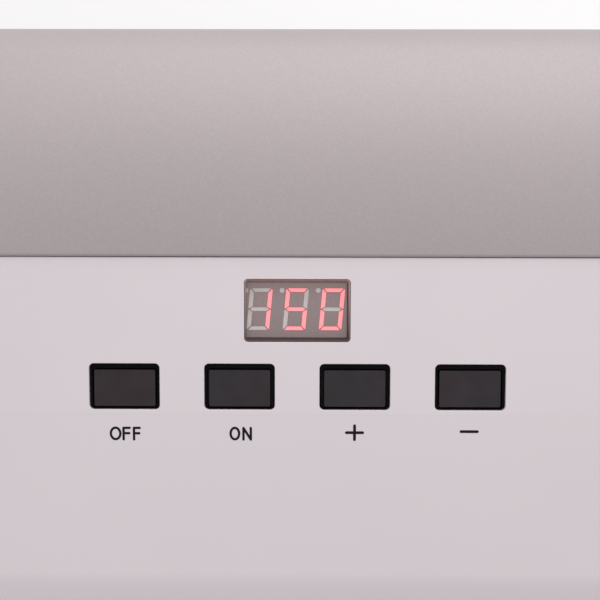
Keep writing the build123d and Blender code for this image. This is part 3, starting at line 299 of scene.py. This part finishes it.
def metal(name, colour, roughness, stretch=(1.0, 1.0, 60.0), spread=0.10):
    """Rolled or ground metal, with fine scratches along one direction."""
    finish = Finish(name, colour, roughness, metallic=1.0)
    scratches = finish.noise(90.0, 6.0, finish.stretched(stretch))
    finish.tint(scratches, shade(colour, 1 - spread), shade(colour, 1 + spread / 2))
    finish.shine(scratches, roughness - 0.06, roughness + 0.12)
    finish.relief(scratches, 0.01 * MM, 0.5)
    finish.tint(finish.noise(18.0, 3.0), grey(0.9), WHITE)
    return finish.material


def ceramic():
    colour = (0.17, 0.155, 0.145)
    finish = Finish("sintered_ceramic", colour, 0.72)
    finish.tint(finish.cells(700.0), shade(colour, 0.7), shade(colour, 1.3), 0.0, 0.6)
    finish.tint(finish.noise(60.0, 5.0), grey(0.85), WHITE)
    finish.relief(finish.noise(900.0, 4.0), 0.04 * MM, 0.7)
    return finish.material


def circuit_board():
    colour = (0.018, 0.11, 0.045)
    finish = Finish("solder_mask", colour, 0.36, Coat_Weight=0.4)
    tracks = finish.cells(130.0, feature="DISTANCE_TO_EDGE")
    finish.tint(tracks, shade(colour, 1.9), colour, 0.02, 0.06)
    finish.tint(finish.noise(35.0, 3.0), grey(0.85), WHITE)
    finish.relief(tracks, 0.03 * MM, 0.4)
    return finish.material


def winding():
    colour = (0.42, 0.16, 0.06)
    finish = Finish("enamelled_copper", colour, 0.34, metallic=0.85, Coat_Weight=0.5)
    turns = finish.bands(260.0, "Z")
    finish.tint(turns, shade(colour, 0.35), shade(colour, 1.2), 0.1, 0.7)
    finish.relief(turns, 0.25 * MM, 0.9)
    return finish.material


def laminations():
    colour = (0.20, 0.20, 0.21)
    finish = Finish("core_laminations", colour, 0.5, metallic=0.8)
    sheets = finish.bands(300.0, "Y")
    finish.tint(sheets, shade(colour, 0.4), shade(colour, 1.2), 0.05, 0.4)
    finish.relief(sheets, 0.15 * MM, 0.7)
    finish.shine(finish.noise(60.0, 4.0), 0.42, 0.6)
    return finish.material


def display_face():
    colour = (0.345, 0.260, 0.262)
    finish = Finish("display_face", colour, 0.45, Specular_IOR_Level=0.3)
    height = finish.rise(window_place, deck_up)
    finish.tint(finish.noise(1700.0, 3.0), shade(colour, 0.92), shade(colour, 1.08))
    # painted shade: the face darker towards its lower side
    finish.tint(height, (0.85, 0.875, 0.87), WHITE, -FACE_SHADE_REACH, FACE_SHADE_REACH)
    finish.relief(finish.noise(1200.0, 2.0), 0.01 * MM, 0.5)
    return finish.material


def segment_resin(name, colour, glow=None, strength=1.0):
    """The milky resin of a display segment, lit or dark, and the painted glow round a lit one."""
    finish = Finish(name, colour, 0.38, Specular_IOR_Level=0.3)
    if glow is not None:
        finish.shader.inputs["Emission Color"].default_value = (*glow, 1.0)
        finish.shader.inputs["Emission Strength"].default_value = strength
    finish.tint(finish.noise(500.0, 3.0), shade(colour, 0.93), shade(colour, 1.05))
    finish.relief(finish.noise(900.0, 2.0), 0.01 * MM, 0.4)
    return finish.material


def printed_ink():
    colour = (0.006, 0.004, 0.008)
    finish = Finish("printed_ink", colour, 0.55, Specular_IOR_Level=0.15)
    finish.tint(finish.noise(2500.0, 4.0), shade(colour, 0.8), shade(colour, 1.9))
    finish.shine(finish.noise(900.0, 3.0), 0.5, 0.65)
    return finish.material


def fuse_glass():
    finish = Finish("fuse_glass", (0.86, 0.90, 0.90), 0.06, Transmission_Weight=0.9, IOR=1.5)
    finish.shine(finish.noise(80.0, 3.0), 0.03, 0.12)
    finish.relief(finish.noise(200.0, 2.0), 0.01 * MM, 0.2)
    return finish.material


MATERIALS = {
    "white": white_gloss(),
    "silver": silver_paint(),
    "key": key_plastic(),
    "collar": moulded("collar_plastic", (0.0022, 0.0016, 0.0017), 0.55, 1800.0, 0.01,
                      Specular_IOR_Level=0.07),
    "surround": surround_painted_shade_and_glow(),
    "base": moulded("base_plastic", (0.035, 0.035, 0.037), 0.58, 1100.0, 0.05, 0.12),
    "grille": moulded("grille_plastic", (0.045, 0.044, 0.046), 0.48, 1300.0, 0.03, 0.10),
    "duct": moulded("duct_plastic", (0.03, 0.03, 0.03), 0.6, 900.0, 0.05, 0.12),
    "heat_frame": moulded("heat_resistant_frame", (0.075, 0.045, 0.032), 0.66, 700.0, 0.05, 0.2),
    "component": moulded("component_case", (0.02, 0.02, 0.021), 0.4, 1500.0, 0.02, 0.15),
    "switch": moulded("switch_case", (0.05, 0.05, 0.052), 0.45, 1500.0, 0.02, 0.1),
    "connector": moulded("natural_nylon", (0.62, 0.57, 0.46), 0.5, 900.0, 0.02, 0.05),
    "inlet": moulded("inlet_plastic", (0.018, 0.018, 0.019), 0.4, 1400.0, 0.02, 0.12),
    "rocker": moulded("rocker_plastic", (0.03, 0.028, 0.028), 0.25, 500.0, 0.01, 0.08),
    "fan": moulded("fan_plastic", (0.05, 0.05, 0.053), 0.5, 900.0, 0.02, 0.1),
    "foam": moulded("filter_fabric", (0.06, 0.06, 0.062), 0.85, 2500.0, 0.08, 0.2),
    "capacitor": moulded("capacitor_case", (0.50, 0.37, 0.03), 0.3, 700.0, 0.01, 0.05),
    "rubber": rubber(),
    "fins": metal("fin_aluminium", (0.78, 0.79, 0.80), 0.32, (60.0, 1.0, 60.0)),
    "steel": metal("plated_steel", (0.62, 0.62, 0.60), 0.30),
    "shaft": metal("ground_shaft", (0.66, 0.66, 0.68), 0.18, (1.0, 60.0, 1.0)),
    "sheet": metal("bright_sheet", (0.58, 0.58, 0.57), 0.34, (40.0, 1.0, 1.0)),
    "brass": metal("brass", (0.78, 0.57, 0.27), 0.28),
    "bronze": metal("sintered_bronze", (0.52, 0.33, 0.17), 0.52, (1.0, 1.0, 1.0), 0.25),
    "stone": ceramic(),
    "board": circuit_board(),
    "coil": winding(),
    "core": laminations(),
    "display": display_face(),
    "lit": segment_resin("lit_segment", (0.42, 0.30, 0.31), (1.0, 0.17, 0.20), 0.76),
    # painted glow round the lit segments, standing in for light spilled onto the face
    "glow": segment_resin("segment_glow", (0.26, 0.16, 0.16), (1.0, 0.08, 0.10), 0.24),
    "unlit": segment_resin("unlit_segment", (0.63, 0.567, 0.553)),
    "ink": printed_ink(),
    "glass": fuse_glass(),
}


# ---------------------------------------------------------------------------------------------
# Modelling helpers
# ---------------------------------------------------------------------------------------------
MERGE_GAP = 0.002 * MM            # corners closer than this are one
FLAT_ANGLE = radians(0.2)         # triangles that turn less than this are one face
SHARP_ANGLE = radians(28.0)       # edges that turn more than this are rounded
SMOOTH_ANGLE = radians(36.0)      # and are shaded sharp where they turn more than this
CURVE_ANGLE = radians(40.0)       # the same limit for fins and filter
ROUND_STEPS = 2
LEVEL_WEIGHT = 60                 # how strongly wide faces hold the shading level
SKIN_SLACK = 0.12 * MM            # how near a point has to be to count as on the skin,
SEAM_SLACK = 0.05 * MM            # on the straight run of the seam,
TURN_SLACK = 0.45 * MM            # on the run down from its turn,
RIM_SLACK = 0.03 * MM             # and on the rim of an opening
RIM_START = 3.0 * MM              # the openings' rims lie further down than this


def pick(*objects):
    """Selects these objects alone, the last one active."""
    if bpy.context.mode != "OBJECT":
        bpy.ops.object.mode_set(mode="OBJECT")
    bpy.ops.object.select_all(action="DESELECT")
    for item in objects:
        item.select_set(True)
    bpy.context.view_layer.objects.active = objects[-1]


def paint(piece, material):
    piece.data.materials.clear()
    piece.data.materials.append(MATERIALS[material])


def apply_modifier(piece, kind, **values):
    pick(piece)
    modifier = piece.modifiers.new(kind.lower(), kind)
    for key, value in values.items():
        setattr(modifier, key, value)
    bpy.ops.object.modifier_apply(modifier=modifier.name)


def declare(piece, name, body, slot, *replaced):
    piece.name = name
    piece.data.name = name
    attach(piece, body)
    if replaced:
        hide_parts(*replaced)


def owner(node):
    """The body and the material slot that a CAD piece belongs to."""
    bodies = frame["record"]["behaviour"]["bodies"]
    body = next(name for name, members in bodies.items() if node in members)
    slot = next(part["material_slot"] for part in frame["record"]["subparts"] if part["node"] == node)
    return body, slot


def merged_copy(node):
    """A copy of a CAD piece with its triangles merged into clean faces."""
    pick(nodes[node])
    bpy.ops.object.duplicate()
    piece = bpy.context.object
    for key in list(piece.keys()):
        del piece[key]
    piece.parent = None
    bpy.ops.object.mode_set(mode="EDIT")
    bpy.ops.mesh.select_all(action="SELECT")
    bpy.ops.mesh.remove_doubles(threshold=MERGE_GAP)
    bpy.ops.mesh.dissolve_limited(angle_limit=FLAT_ANGLE)
    bpy.ops.object.mode_set(mode="OBJECT")
    return piece


def refine(node, rounding, material, special=()):
    """Stands for a CAD piece: the same shape with its hard edges rounded and smooth shading."""
    piece = merged_copy(node)
    for test, width, steps in special:
        bevel_edges(piece, test, width, steps)
    apply_modifier(piece, "BEVEL", width=rounding * MM, segments=ROUND_STEPS,
                   limit_method="ANGLE", angle_limit=SHARP_ANGLE)
    pick(piece)
    bpy.ops.object.shade_smooth_by_angle(angle=SMOOTH_ANGLE)
    apply_modifier(piece, "WEIGHTED_NORMAL", weight=LEVEL_WEIGHT, keep_sharp=True)
    paint(piece, material)
    body, slot = owner(node)
    declare(piece, f"{node}_finished", body, slot, node)


def bevel_edges(piece, chosen, width, segments):
    """Rounds the edges that a test of both end points accepts."""
    pick(piece)
    bpy.ops.object.mode_set(mode="EDIT")
    bpy.ops.mesh.select_mode(type="EDGE")
    bpy.ops.mesh.select_all(action="DESELECT")
    bpy.ops.object.mode_set(mode="OBJECT")
    points = [vertex.co.copy() for vertex in piece.data.vertices]
    for edge in piece.data.edges:
        edge.select = all(chosen(points[n]) for n in edge.vertices)
    bpy.ops.object.mode_set(mode="EDIT")
    bpy.ops.mesh.bevel(offset=width, segments=segments, affect="EDGES", clamp_overlap=False)
    bpy.ops.object.mode_set(mode="OBJECT")


def skin_test(proud):
    """A test for points on the outer skin of the housing, this much proud of the deck."""
    low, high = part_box("front_shell")
    half = (high[0] - low[0]) / 2

    def on_skin(point):
        depth = -(point - seam).dot(deck_out)
        across = max(abs(point.x) - (half - END_RADIUS), 0.0)
        rise = max(END_RADIUS - depth, 0.0)
        return abs(Vector((across, rise)).length - (END_RADIUS + proud)) < SKIN_SLACK

    return on_skin


def seam_edge(side, proud):
    """A test for points on one side of the seam: -1 for the front shell, 1 for the rear."""
    on_skin = skin_test(proud)
    turn_y = (seam - deck_out * SEAM_DEPTH).y

    def on_edge(point):
        depth = -(point - seam).dot(deck_out)
        along = (point - seam).dot(deck_up)
        straight = abs(along - side * SEAM_HALF) < SEAM_SLACK and depth < SEAM_DEPTH + MM
        below = abs(point.y - turn_y) < TURN_SLACK and depth > SEAM_DEPTH - MM
        return on_skin(point) and (straight or below)

    return on_edge


def opening_edge(point):
    """Points on the rims of the openings in the deck."""
    drop = (seam - point).dot(deck_up)
    height = (point - seam).dot(deck_out)
    return abs(height) < RIM_SLACK and RIM_START < drop < CREASE_DROP - MM


def outline_face(points):
    """A flat face with a drawn outline, left in edit mode with all of it selected."""
    bpy.ops.object.select_all(action="DESELECT")
    bpy.ops.mesh.primitive_circle_add(vertices=len(points), radius=MM, fill_type="NGON")
    piece = bpy.context.object
    for vertex, (x, y) in zip(piece.data.vertices, points):
        vertex.co = (x, y, 0.0)
    bpy.ops.object.mode_set(mode="EDIT")
    bpy.ops.mesh.select_all(action="SELECT")
    return piece


def raise_face(piece, thickness, matrix):
    """Gives a drawn face its thickness and lays it in its place."""
    bpy.ops.mesh.extrude_region_move(TRANSFORM_OT_translate={"value": (0, 0, thickness)})
    bpy.ops.mesh.select_all(action="SELECT")
    bpy.ops.mesh.normals_make_consistent(inside=False)
    bpy.ops.object.mode_set(mode="OBJECT")
    piece.data.transform(matrix)
    return piece


def outline_plate(points, thickness, matrix):
    return raise_face(outline_face(points), thickness, matrix)


def oval(wide, tall, corners, x=0.0):
    return [(x + wide * cos(2 * pi * n / corners), tall * sin(2 * pi * n / corners))
            for n in range(corners)]


def join(pieces):
    pick(*pieces)
    bpy.ops.object.join()
    return bpy.context.object


# ---------------------------------------------------------------------------------------------
# CAD pieces that keep their shape
# ---------------------------------------------------------------------------------------------
ROUNDED = {                       # width of the rounding in millimetres, and the material
    "front_shell": (0.3, "white"),
    "rear_shell": (0.35, "silver"),
    "base_tray": (0.6, "base"),
    "outlet_grille": (0.4, "grille"),
    "intake_cover": (0.5, "grille"),
    "finger_guard": (0.4, "grille"),
    "key_bezel": (0.35, "collar"),
    "display_surround": (0.08, "surround"),
    "rubber_feet": (0.5, "rubber"),
    "inlet_socket": (0.4, "inlet"),
    "switch_housing": (0.4, "inlet"),
    "power_rocker": (0.35, "rocker"),
    "tip_plunger": (0.4, "rocker"),
    "fan_wheel": (0.3, "fan"),
    "off_key": (0.22, "key"),
    "on_key": (0.22, "key"),
    "plus_key": (0.22, "key"),
    "minus_key": (0.22, "key"),
    "motor_mount": (0.4, "duct"),
    "element_frame": (0.5, "heat_frame"),
    "motor_stator": (0.2, "core"),
    "motor_coil": (1.2, "coil"),
    "display_module": (0.15, "display"),
}
SPECIAL = {                       # a test for edges, the width of their rounding and its steps
    "front_shell": [(seam_edge(-1, 0.0), 0.4 * MM, 4), (opening_edge, 0.25 * MM, 3)],
    "rear_shell": [(seam_edge(1, REAR_PROUD), 1.1 * MM, 5)],
}
PAINTED = {
    "air_duct": "duct", "base_screws": "steel", "bearing_brackets": "sheet",
    "board_connector": "connector", "board_screws": "steel", "buzzer": "component",
    "ceramic_stones": "stone", "control_board": "board", "control_chip": "component",
    "duct_screws": "steel", "fuse": "glass", "hub_clip": "steel", "inlet_pins": "brass",
    "line_capacitor": "capacitor", "motor_mount_screws": "steel", "motor_rotor": "core",
    "motor_shaft": "shaft", "power_board": "board", "power_board_screws": "steel",
    "power_relays": "component", "shaft_bushes": "bronze", "stone_channels": "fins",
    "tact_switches": "switch", "terminal_blades": "brass", "terminal_block": "connector",
    "thermal_cutout": "sheet", "tip_switch": "component",
    "off_switch_plunger": "switch", "on_switch_plunger": "switch",
    "plus_switch_plunger": "switch", "minus_switch_plunger": "switch",
}
for node, material in PAINTED.items():
    paint(nodes[node], material)
for node, (rounding, material) in ROUNDED.items():
    refine(node, rounding, material, SPECIAL.get(node, ()))


# ---------------------------------------------------------------------------------------------
# Display digits
# ---------------------------------------------------------------------------------------------
DIGIT_PITCH = 12.55 * MM
DIGIT_SLANT = tan(radians(5.2))
DIGIT_SHIFT = -0.55 * MM          # middle digit from the middle of the window
DIGIT_LIFT = 0.28 * MM
HALF_WIDTH, HALF_HEIGHT = 3.22 * MM, 6.65 * MM         # to the middles of the outer segments
BAR, STEM = 0.62 * MM, 0.71 * MM  # half thickness of a level and an upright segment
MITRE_GAP = 0.27 * MM
DOT_RADIUS, DOT_X, DOT_Y = 0.85 * MM, -5.36 * MM, 6.55 * MM
DOT_CORNERS = 28
DIGIT_SEGMENTS = ("bc", "acdfg", "abcdef")
FACE_HEIGHT = -2.68 * MM          # the display's face from the deck
SEGMENT_THICK = 0.06 * MM
# painted glow: a thin glowing sheet this thick, reaching this far round each lit segment
GLOW_THICK = 0.03 * MM
GLOW_REACH = 0.24 * MM
# Shares of the mitre gap that part a segment's corners from its neighbours
BAR_INNER, WAIST_TIP = 0.6, 0.3
STEM_HEAD, STEM_FOOT, STEM_POINT, STEM_SIDE = 1.3, 1.2, 0.75, 1.3
# Shares of a half thickness that cut the outer corners off at a slant
BAR_CUT, STEM_CUT, HEAD_OUTER, HEAD_INNER, POINT_INSET = 0.55, 0.6, 0.1, 0.5, 0.7


def digit_outlines():
    """The outlines of the seven segments of a digit, before it slants."""
    w, h, g = HALF_WIDTH, HALF_HEIGHT, MITRE_GAP
    top = [(-w - STEM + BAR * BAR_CUT + g, h + BAR), (w + STEM - BAR * BAR_CUT - g, h + BAR),
           (w - STEM - g * BAR_INNER, h - BAR), (-w + STEM + g * BAR_INNER, h - BAR)]
    waist = [(-w - g * WAIST_TIP, 0), (-w + STEM, BAR), (w - STEM, BAR),
             (w + g * WAIST_TIP, 0), (w - STEM, -BAR), (-w + STEM, -BAR)]
    upper = [(w + STEM, h + BAR * HEAD_OUTER), (w + STEM * STEM_CUT, h + BAR * HEAD_INNER),
             (w - STEM, h - BAR - g * STEM_HEAD), (w - STEM, BAR + g * STEM_FOOT),
             (w + STEM * POINT_INSET, g * STEM_POINT), (w + STEM, g * STEM_SIDE)]
    lower = [(x, -y) for x, y in reversed(upper)]
    return {
        "a": top,
        "d": [(x, -y) for x, y in reversed(top)],
        "g": waist,
        "b": upper,
        "c": lower,
        "f": [(-x, y) for x, y in reversed(upper)],
        "e": [(-x, -y) for x, y in upper],
    }


def grown(points, amount):
    """An outline made larger by about an amount all round."""
    middle_x = sum(x for x, _ in points) / len(points)
    middle_y = sum(y for _, y in points) / len(points)
    wide = max(abs(x - middle_x) for x, _ in points)
    tall = max(abs(y - middle_y) for _, y in points)
    return [(middle_x + (x - middle_x) * (1 + amount / wide),
             middle_y + (y - middle_y) * (1 + amount / tall)) for x, y in points]


def display_digits():
    """The segments that show the digits, the dark ones with the points, and a painted glow: thin glowing fringes
    round the lit segments.
    """
    lit, unlit, glow = [], [], []
    round_dot = oval(DOT_RADIUS, DOT_RADIUS, DOT_CORNERS)
    for index, shown in enumerate(DIGIT_SEGMENTS):
        place = on_deck(DIGIT_SHIFT + (index - 1) * DIGIT_PITCH, WINDOW_DROP - DIGIT_LIFT,
                        FACE_HEIGHT)
        for letter, outline in digit_outlines().items():
            slanted = [(x + y * DIGIT_SLANT, y) for x, y in outline]
            plate = outline_plate(slanted, SEGMENT_THICK, place)
            (lit if letter in shown else unlit).append(plate)
            if letter in shown:
                glow.append(outline_plate(grown(slanted, GLOW_REACH), GLOW_THICK, place))
        dot = [(x + DOT_X + DOT_Y * DIGIT_SLANT, y + DOT_Y) for x, y in round_dot]
        unlit.append(outline_plate(dot, SEGMENT_THICK, place))
    for name, plates in (("lit", lit), ("unlit", unlit), ("glow", glow)):
        piece = join(plates)
        paint(piece, name)
        declare(piece, f"{name}_segments", "housing", "display_face")


# ---------------------------------------------------------------------------------------------
# Printed key marks
# ---------------------------------------------------------------------------------------------
MARK_DROP = 61.35 * MM
MARK_X = {"off": -59.88 * MM, "on": -19.63 * MM, "plus": 20.0 * MM, "minus": 59.83 * MM}
MARK_LIFT = {"off": -0.38 * MM, "on": -0.28 * MM, "plus": 0.2 * MM, "minus": 0.73 * MM}
PRINT_THICK = 0.03 * MM
PRINT_STEP = 0.15                 # each stroke is thicker by this share, so no two tops meet
STROKE, SIGN_STROKE = 0.85 * MM, 1.0 * MM
STROKE_END_CORNERS = 9
LETTER_TOP, LETTER_FOOT = 1.99 * MM, -2.10 * MM    # ends of the stroke lines of a letter
WAIST = 0.09 * MM
SHORT_ARM = 0.15 * MM             # the waist of an F is this much shorter than its top
F_STEMS = ((-0.59 * MM, 1.54 * MM), (3.05 * MM, 5.03 * MM))    # each stem and the end of its top
N_LEFT, N_RIGHT = 0.97 * MM, 3.53 * MM
SIGN_WIDTH, SIGN_HEIGHT = 6.65 * MM, 5.95 * MM
RINGS = {"off": (-3.376 * MM, 1.656 * MM), "on": (-2.026 * MM, 1.483 * MM)}    # middle, half width
RING_HEIGHT = 2.035 * MM
RING_CORNERS = 40


def stroke(start, end, width):
    """The outline of a printed stroke with round ends."""
    start, end = Vector(start), Vector(end)
    along = (end - start).normalized() * width / 2
    points = []
    for centre, first in ((end, -90), (start, 90)):
        for n in range(STROKE_END_CORNERS):
            turn = radians(first + 180 * n / (STROKE_END_CORNERS - 1))
            points.append((centre.x + along.x * cos(turn) - along.y * sin(turn),
                           centre.y + along.x * sin(turn) + along.y * cos(turn)))
    return points


def ring(x, wide, tall, width, matrix):
    """A printed oval, as a closed flat band."""
    piece = outline_face(oval(wide + width / 2, tall + width / 2, RING_CORNERS, x))
    bpy.ops.mesh.inset(thickness=width)
    bpy.ops.mesh.delete(type="FACE")
    bpy.ops.mesh.select_all(action="SELECT")
    return raise_face(piece, PRINT_THICK, matrix)


def letter_strokes(name):
    """The straight strokes of a mark, as pairs of ends, in its own X and Y."""
    if name == "off":
        lines = []
        for stem, reach in F_STEMS:
            lines += [((stem, LETTER_FOOT), (stem, LETTER_TOP)),
                      ((stem, LETTER_TOP), (reach, LETTER_TOP)),
                      ((stem, WAIST), (reach - SHORT_ARM, WAIST))]
        return lines
    if name == "on":
        return [((N_LEFT, LETTER_FOOT), (N_LEFT, LETTER_TOP)),
                ((N_LEFT, LETTER_TOP), (N_RIGHT, LETTER_FOOT)),
                ((N_RIGHT, LETTER_FOOT), (N_RIGHT, LETTER_TOP))]
    half = (SIGN_WIDTH - SIGN_STROKE) / 2
    level = [((-half, 0), (half, 0))]
    rise = (SIGN_HEIGHT - SIGN_STROKE) / 2
    return level + [((0, -rise), (0, rise))] if name == "plus" else level


def key_marks():
    for name, x in MARK_X.items():
        place = below_crease(x, MARK_DROP - MARK_LIFT[name])
        width = STROKE if name in RINGS else SIGN_STROKE
        plates = []
        for index, (start, end) in enumerate(letter_strokes(name)):
            thick = PRINT_THICK * (1 + PRINT_STEP * index)
            plates.append(outline_plate(stroke(start, end, width), thick, place))
        if name in RINGS:
            plates.append(ring(*RINGS[name], RING_HEIGHT, width, place))
        piece = join(plates)
        paint(piece, "ink")
        declare(piece, f"{name}_mark", "housing", "key_plastic")


# ---------------------------------------------------------------------------------------------
# Heating fins and intake filter
# ---------------------------------------------------------------------------------------------
FIN_ROWS = 6
FIN_ROW_HEIGHT = 11.0 * MM
ROW_PITCH = 16.0 * MM
FOLD_PITCH = 2.6 * MM
FOLD_RADIUS = 0.45 * MM
FIN_SHEET = 0.35 * MM             # its thickness
FOLD_ROOM = 1.2                   # room above and below a row of folds, in thicknesses
FILTER_CELLS = 46
FILTER_RIM = 4.0 * MM
RIM_RADIUS = 0.6 * MM
STRAND = 0.7 * MM
FACES_Y = 0.9                     # a normal with more than this along Y faces front or back


def folded_fins():
    """Rows of thin aluminium, folded up and down between the heating bars."""
    low, high = (Vector(corner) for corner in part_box("heating_fins"))
    folds = round((high.x - low.x) / FOLD_PITCH) * 2
    centre = (low + high) / 2
    bpy.ops.object.select_all(action="DESELECT")
    bpy.ops.mesh.primitive_grid_add(x_subdivisions=folds, y_subdivisions=1, size=2.0)
    strip = bpy.context.object
    step = (high.x - low.x - 2 * FIN_SHEET) / folds
    reach = FIN_ROW_HEIGHT / 2 - FIN_SHEET * FOLD_ROOM
    for vertex in strip.data.vertices:
        column = round((vertex.co.x + 1.0) / 2.0 * folds)
        side = 1 if column % 2 else -1
        vertex.co = ((column - folds / 2) * step, vertex.co.y * (high.y - low.y) / 2, side * reach)
    apply_modifier(strip, "BEVEL", width=FOLD_RADIUS, segments=ROUND_STEPS,
                   limit_method="ANGLE", angle_limit=CURVE_ANGLE)
    apply_modifier(strip, "SOLIDIFY", thickness=FIN_SHEET, offset=0.0)
    rows = []
    for row in range(FIN_ROWS):
        pick(strip)
        bpy.ops.object.duplicate()
        copy = bpy.context.object
        offset = Vector((centre.x, centre.y, centre.z + (row - (FIN_ROWS - 1) / 2) * ROW_PITCH))
        copy.data.transform(Matrix.Translation(offset))
        rows.append(copy)
    bpy.data.objects.remove(strip)
    piece = join(rows)
    bpy.ops.object.shade_smooth_by_angle(angle=CURVE_ANGLE)
    paint(piece, "fins")
    declare(piece, "folded_fins", "housing", "fin_aluminium", "heating_fins")


def filter_screen():
    """A woven screen in a moulded rim."""
    low, high = (Vector(corner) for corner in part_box("intake_filter"))
    size, centre = high - low, (low + high) / 2
    bpy.ops.object.select_all(action="DESELECT")
    bpy.ops.mesh.primitive_grid_add(x_subdivisions=FILTER_CELLS, y_subdivisions=FILTER_CELLS,
                                    size=1.0)
    screen = bpy.context.object
    screen.data.transform(Matrix.Translation(centre) @ Matrix.Rotation(pi / 2, 4, "X")
                          @ Matrix.Diagonal((size.x - FILTER_RIM, size.z - FILTER_RIM, 1, 1)))
    apply_modifier(screen, "WIREFRAME", thickness=STRAND, use_even_offset=False)
    bpy.ops.mesh.primitive_cube_add(size=1.0)
    frame_rim = bpy.context.object
    frame_rim.data.transform(Matrix.Translation(centre) @ Matrix.Diagonal((*size, 1)))
    bpy.ops.object.mode_set(mode="EDIT")
    bpy.ops.mesh.select_all(action="DESELECT")
    bpy.ops.object.mode_set(mode="OBJECT")
    for face in frame_rim.data.polygons:
        face.select = abs(face.normal.y) > FACES_Y
    bpy.ops.object.mode_set(mode="EDIT")
    bpy.ops.mesh.inset(thickness=FILTER_RIM)
    bpy.ops.mesh.bridge_edge_loops()
    bpy.ops.object.mode_set(mode="OBJECT")
    apply_modifier(frame_rim, "BEVEL", width=RIM_RADIUS, segments=ROUND_STEPS,
                   limit_method="ANGLE")
    piece = join([screen, frame_rim])
    bpy.ops.object.shade_smooth_by_angle(angle=CURVE_ANGLE)
    paint(piece, "foam")
    declare(piece, "filter_screen", "housing", "filter_foam", "intake_filter")


# ---------------------------------------------------------------------------------------------
# Floor, light and camera
# ---------------------------------------------------------------------------------------------
CAMERA_ELEVATION = radians(55.33)
CAMERA_AZIMUTH = radians(-0.85)
CAMERA_ROLL = radians(-0.53)
CAMERA_DISTANCE = 400.0 * MM
CAMERA_LENS, CAMERA_SENSOR = 69.72, 36.0               # in millimetres, as a camera has them
CAMERA_NEAR = 10.0 * MM           # nothing closer to the camera than this is drawn
AIM_X, AIM_DROP = 0.93 * MM, 14.81 * MM                # what the camera looks at on the deck
FLOOR_SIZE = 8.0
WORLD_LIGHT = 0.589
REAR_POWER, FRONT_POWER = 22.9, 4.3
REAR_PLACE, REAR_AIM, REAR_SIZE = (0.30, 1.02, 1.62), (0, 0, 0.2), (1.5, 1.3)
FRONT_PLACE, FRONT_AIM, FRONT_SIZE = (0.15, -0.985, 1.51), (0, 0, 0.25), (1.5, 0.68)
FRONT_COLOUR = (1.0, 0.97, 0.98)


def studio_floor():
    bpy.ops.object.select_all(action="DESELECT")
    bpy.ops.mesh.primitive_plane_add(size=FLOOR_SIZE)
    floor = bpy.context.object
    floor.name = "studio_floor"
    paper = Finish("studio_paper", (0.80, 0.79, 0.79), 0.7)
    paper.tint(paper.noise(3.0, 3.0), (0.79, 0.78, 0.78), (0.81, 0.80, 0.80))
    floor.data.materials.append(paper.material)


def soft_light(name, place, aim, size, power, colour):
    light = bpy.data.lights.new(name, "AREA")
    light.shape = "RECTANGLE"
    light.size, light.size_y = size
    light.energy = power
    light.color = colour
    lamp = bpy.data.objects.new(name, light)
    bpy.context.scene.collection.objects.link(lamp)
    lamp.location = place
    lamp.rotation_euler = (Vector(aim) - Vector(place)).to_track_quat("-Z", "Y").to_euler()


def studio_light():
    world = bpy.data.worlds.new("studio")
    bpy.context.scene.world = world
    world.use_nodes = True
    background = world.node_tree.nodes["Background"]
    background.inputs["Color"].default_value = (*WHITE, 1.0)
    background.inputs["Strength"].default_value = WORLD_LIGHT
    soft_light("rear_softbox", REAR_PLACE, REAR_AIM, REAR_SIZE, REAR_POWER, WHITE)
    soft_light("front_softbox", FRONT_PLACE, FRONT_AIM, FRONT_SIZE, FRONT_POWER, FRONT_COLOUR)


def camera():
    aim = seam + deck_right * AIM_X - deck_up * AIM_DROP
    back = Vector((-sin(CAMERA_AZIMUTH) * cos(CAMERA_ELEVATION),
                   -cos(CAMERA_AZIMUTH) * cos(CAMERA_ELEVATION), sin(CAMERA_ELEVATION)))
    right = Vector((cos(CAMERA_AZIMUTH), -sin(CAMERA_AZIMUTH), 0))
    up = back.cross(right)
    right, up = (right * cos(CAMERA_ROLL) + up * sin(CAMERA_ROLL),
                 up * cos(CAMERA_ROLL) - right * sin(CAMERA_ROLL))
    lens = bpy.data.cameras.new("camera")
    lens.lens, lens.sensor_width = CAMERA_LENS, CAMERA_SENSOR
    lens.clip_start = CAMERA_NEAR
    eye = bpy.data.objects.new("camera", lens)
    bpy.context.scene.collection.objects.link(eye)
    eye.matrix_world = facing(aim + back * CAMERA_DISTANCE, right, up, back)
    bpy.context.scene.camera = eye


display_digits()
key_marks()
folded_fins()
filter_screen()
studio_floor()
studio_light()
camera()
bpy.context.scene.view_settings.view_transform = "Standard"
bpy.context.scene.view_settings.look = "None"
